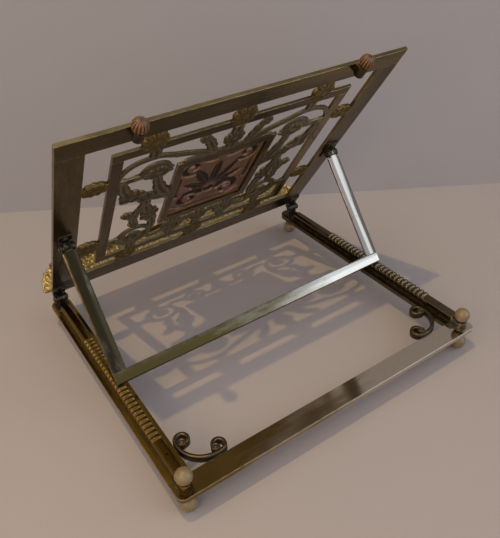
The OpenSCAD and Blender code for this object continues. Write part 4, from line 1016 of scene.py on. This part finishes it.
# %% Make the plaque
lump_h, smoothings = 0.16, 3
lumps = np.random.default_rng(7).normal(size=U.shape)
for turn in range(smoothings):
    near = [np.roll(lumps, way, axis) for way in (1, -1) for axis in (0, 1)]
    lumps = (lumps + sum(near)) / 5
calm = np.clip(-edge / 3, 0, 1)
height = relief_h * relief + lump_h * lumps / lumps.std() * calm * (1 - 0.6 * relief)
back_face = points_of(U, V + sheet_mid_v, sheet_low.z + np.clip(height, 0, relief_h))
deep = [np.clip(1.25 * relief, 0, 1).ravel(), (0.75 * (1 - relief) * (edge < 1)).ravel()]
embossed = two_faced(back_face, back_face + (0, 0, sheet_t), deep)
plaque = new_piece("embossed_plaque", embossed, "panel", copper, ["copper_plaque"],
                   place=panel_frame)
print(plaque.name, len(plaque.data.vertices), "points")

# %% [markdown]
# ## Gilt leaves
# The tabs that join the two frames are cast leaves. Those above and below are broad palmettes that
# lap over both frames, and those at the sides are long scalloped leaves on a plain spine. They use
# the same leaf as the scrollwork, thicker, so that they stand proud of the bars they lie on.

# %% Cast the leaf tabs
def tab_middles(node, across):
    """Middles of the tabs in a node, found by gathering its points along one direction."""
    points = panel_points(node)
    order = points[np.argsort(points[:, across])]
    breaks = np.where(np.diff(order[:, across]) > tab_spacing)[0] + 1
    return [(group.max(axis=0) + group.min(axis=0)) / 2 for group in np.split(order, breaks)]


leaf_w, leaf_h, leaf_in, side_gap, side_h, side_up = 17.0, 22.0, 3.5, 17.5, 13.5, 0.6
proud, tab_spacing = 2.0, 25
for end, way in (("top", 1), ("bottom", -1)):
    parts = []
    for x, v, _ in tab_middles(f"{end}_leaf_tabs", 0):
        middle = (x, v - leaf_in * way)
        parts.append(lobed(middle, leaf_w + 2, leaf_h, 9, 0.14, proud, turn=way * math.pi / 2))
        neck = bezier([(x, v - reach * way) for reach in (0, 5, 9, 13.5)], 14)
        parts.append(band(neck, np.multiply((0.62, 0.52, 0.5), leaf_w)))
    panel_piece(f"cast_{end}_leaves", joined(parts), "gilt cast leaves", f"{end}_leaf_tabs")

parts, tab_x = [], panel_span("side_leaf_tabs")[1].x - side_gap / 2
for x in (-tab_x, tab_x):
    for _, v, _ in tab_middles("side_leaf_tabs", 1):
        parts.append(lobed((x, v + side_up), side_gap + 4, side_h, 11, 0.13, proud, turn=math.pi / 2))
        spine = bezier([(x - 12, v), (x - 4, v + side_up), (x + 4, v + side_up), (x + 12, v)], 24)
        parts.append(band(spine, (7.5, 6.0, 7.5)))
panel_piece("cast_side_leaves", joined(parts), "gilt cast leaves", "side_leaf_tabs")
print("cast the leaf tabs")

# %% [markdown]
# ## Ledge ornament
# The lip of the ledge is a row of small fans, and a flat shell carries each end of the ledge past the
# panel. A fan is a patch of the lip whose height rises in ribs from a point at its foot. The rim
# follows the tops of the fans, so the outline is scalloped as in the CAD. A row of beads edges a shell.

# %% Press the fans of the lip
plain_back, back_deep = 1.0, 0.2


def pressed(low_edge, high_edge, height, deep):
    """A pressed strip between two edges: a front that is raised by a height, and a plain back."""
    t = np.linspace(0, 1, len(height))[:, None, None]
    flat, lift = low_edge * (1 - t) + high_edge * t, np.array((0, 0, 1.0))
    values = [deep.ravel(), np.full(deep.size, back_deep)]
    return two_faced(flat + lift * height[..., None], flat - lift * plain_back, values)


lip_low, lip_high = panel_span("ledge_lip")
fans, fan_columns, lip_rows = 20, 16, 12
x = np.linspace(lip_low.x, lip_high.x, fans * fan_columns + 1)
fan_w = (lip_high.x - lip_low.x) / fans
from_fan = ((x - lip_low.x) / fan_w) % 1 - 0.5
arc = dome(from_fan, 0.62)
top = lip_high.y - fan_w * 0.56 * (1 - arc)
bottom_edge, top_edge = (points_of(x, v, lip_low.z + plain_back) for v in (lip_low.y, top))
up = np.linspace(0, 1, lip_rows)[:, None]
ribs = np.abs(np.cos(np.arctan2(from_fan[None, :] * fan_w, 1.2 + up * 6) * 5)) ** 0.7
raised = ribs * np.sin(np.clip(up * 1.08, 0, 1) * math.pi) ** 0.5
lip = pressed(bottom_edge, top_edge, 0.25 + 0.75 * raised, np.clip(1.1 - raised, 0, 1) * (up > 0.06))
panel_piece("fan_lip", lip, "gilt pressed ledge", "ledge_lip")
print("pressed", fans, "fans")

# %% Press the end shells
shell_rays, ray_columns, shell_rows, beads = 4, 24, 26, 5
turn = np.linspace(0, math.pi / 2, shell_rays * ray_columns + 1)
lobe = np.abs(np.sin(2 * shell_rays * turn)) ** 0.6
up = np.linspace(0, 1, shell_rows)[:, None]
ribs_end, bead_at, bead_half = 0.84, 0.92, 0.07
ribs = lobe * np.sin(np.clip(up / ribs_end, 0, 1) * math.pi) ** 0.5
bead_row = dome(up - bead_at, bead_half)
raised = np.maximum(ribs * 0.8, np.abs(np.sin(2 * shell_rays * beads * turn)) ** 0.5 * bead_row)
for side in sides:
    node = f"{side}_ledge_shell"
    low, high = panel_span(node)
    outer = max(low.x, high.x, key=abs)
    inner = low.x + high.x - outer
    rim_line = points_of((outer - inner) * np.cos(turn), (high.z - low.z) * np.sin(turn), 0)
    rim_line *= (0.9 + 0.1 * lobe)[:, None]
    points, deep, faces = pressed(rim_line * 0.05, rim_line, 0.4 + 0.8 * raised, 0.85 * (1 - raised))
    out, forward, thick = points.T
    laid = points_of(inner + out, (low.y + high.y) / 2 + thick, low.z + forward)
    panel_piece(f"fan_{side}_shell", (laid, deep, faces), "gilt pressed ledge", node)
print("pressed 2 shells")

# %% [markdown]
# ## Floor and backdrop
# The stand is shown on a plain pale sheet in front of a plain pale wall. Both are one-sided: seen
# from behind they let light and sight through, so that a camera on the far side still sees the
# stand. The Geometry node's Backfacing output switches the shader over.

# %% Lay the floor and set up the backdrop
def sheet(name, corners):
    """A flat four-cornered sheet that belongs to the stage."""
    mesh = bpy.data.meshes.new(name)
    mesh.from_pydata(corners, [], [range(len(corners))])
    made = bpy.data.objects.new(name, mesh)
    scene.collection.objects.link(made)
    return made


def paper(name, light_tone, dark_tone):
    """Pale matt paper with a faint cloudiness, seen from its front only."""
    material, tree, shader = new_material(name)
    place = coordinate(tree)
    tone = ramp(tree, noise(tree, place, 3.0, 5.0), 0.3, 0.7)
    fill(tree, shader, {
        "Base Color": mixed(tree, tone, (*light_tone, 1), (*dark_tone, 1)),
        "Roughness": ramp(tree, noise(tree, place, 60.0), 0.3, 0.7, 0.75, 0.85),
        "Normal": bumped(tree, noise(tree, place, 900.0, 3.0), 0.06, mm),
    })
    behind = add(tree, "ShaderNodeNewGeometry").outputs["Backfacing"]
    clear = add(tree, "ShaderNodeBsdfTransparent").outputs[0]
    either = add(tree, "ShaderNodeMixShader", {0: behind, 1: shader.outputs[0], 2: clear}).outputs[0]
    tree.links.new(either, tree.nodes["Material Output"].inputs["Surface"])
    return material


reach, wall_height = 2.5, 2.0
wall_distance, wall_bearing = 227.1 * mm, math.radians(147.86)
wall_along = Vector((math.cos(wall_bearing), math.sin(wall_bearing), 0))
wall_foot = Vector((-wall_along.y, wall_along.x, 0)) * wall_distance
start, end, rise = wall_foot - wall_along * reach, wall_foot + wall_along * reach, Vector((0, 0, wall_height))
floor = sheet("floor", [(x * reach, y * reach, 0) for x, y in ((-1, -1), (1, -1), (1, 1), (-1, 1))])
backdrop = sheet("backdrop", [start, end, end + rise, start + rise])
floor.data.materials.append(paper("floor paper", (0.39, 0.345, 0.317), (0.37, 0.325, 0.297)))
backdrop.data.materials.append(paper("wall paper", (0.385, 0.358, 0.342), (0.37, 0.343, 0.327)))
facing = [round(v, 2) for v in backdrop.data.polygons[0].normal]
print(f"backdrop {wall_distance / mm:.0f} mm from the middle, facing", facing)

# %% [markdown]
# ## Light
# A warm lamp almost overhead draws the lacy shadow of the panel on the floor. A cool soft box stands
# to the right of the camera, like a window, and the prop mirrors it. A warm one stands on the left.
# Polished brass shows what stands around it, so the world isn't one even tone: it is brighter in a
# soft ring of directions on the window's side. Together they light a pale card to about its own
# colour.

# %% Hang the lamps
stand_middle = Vector((0, 0, 0.08))


def lamp(name, place, size, watts, tint):
    """A round area lamp that looks at the middle of the stand."""
    data = bpy.data.lights.new(name, "AREA")
    data.shape, data.size, data.energy, data.color = "DISK", size, watts, tint
    made = bpy.data.objects.new(name, data)
    scene.collection.objects.link(made)
    made.location = place
    made.rotation_euler = (stand_middle - Vector(place)).to_track_quat("-Z", "Y").to_euler()


lamp("overhead lamp", (0.28, -0.074, 1.71), 0.03, 7.8, (1.0, 0.73, 0.34))
lamp("window soft box", (-0.72, 0.66, 0.41), 0.68, 0.7, (0.84, 0.9, 1.0))
lamp("warm soft box", (0.62, 0.33, 0.46), 0.4, 1.4, (1.0, 0.6, 0.17))

# %% Light the room
world = bpy.data.worlds.new("room with a window")
world.use_nodes = True
room = world.node_tree
sideways = axis_of(room, coordinate(room, "Generated"), "X")
glow = sums(room, "MINIMUM", ramp(room, sideways, -0.26, -0.56), ramp(room, sideways, -0.88, -0.6))
tone = mixed(room, glow, (0.68, 0.71, 0.84, 1), (1.24, 1.38, 1.70, 1))
fill(room, room.nodes["Background"], {"Color": tone})
scene.world = world
scene.view_settings.view_transform = "Standard"
print("lit by", world.name)
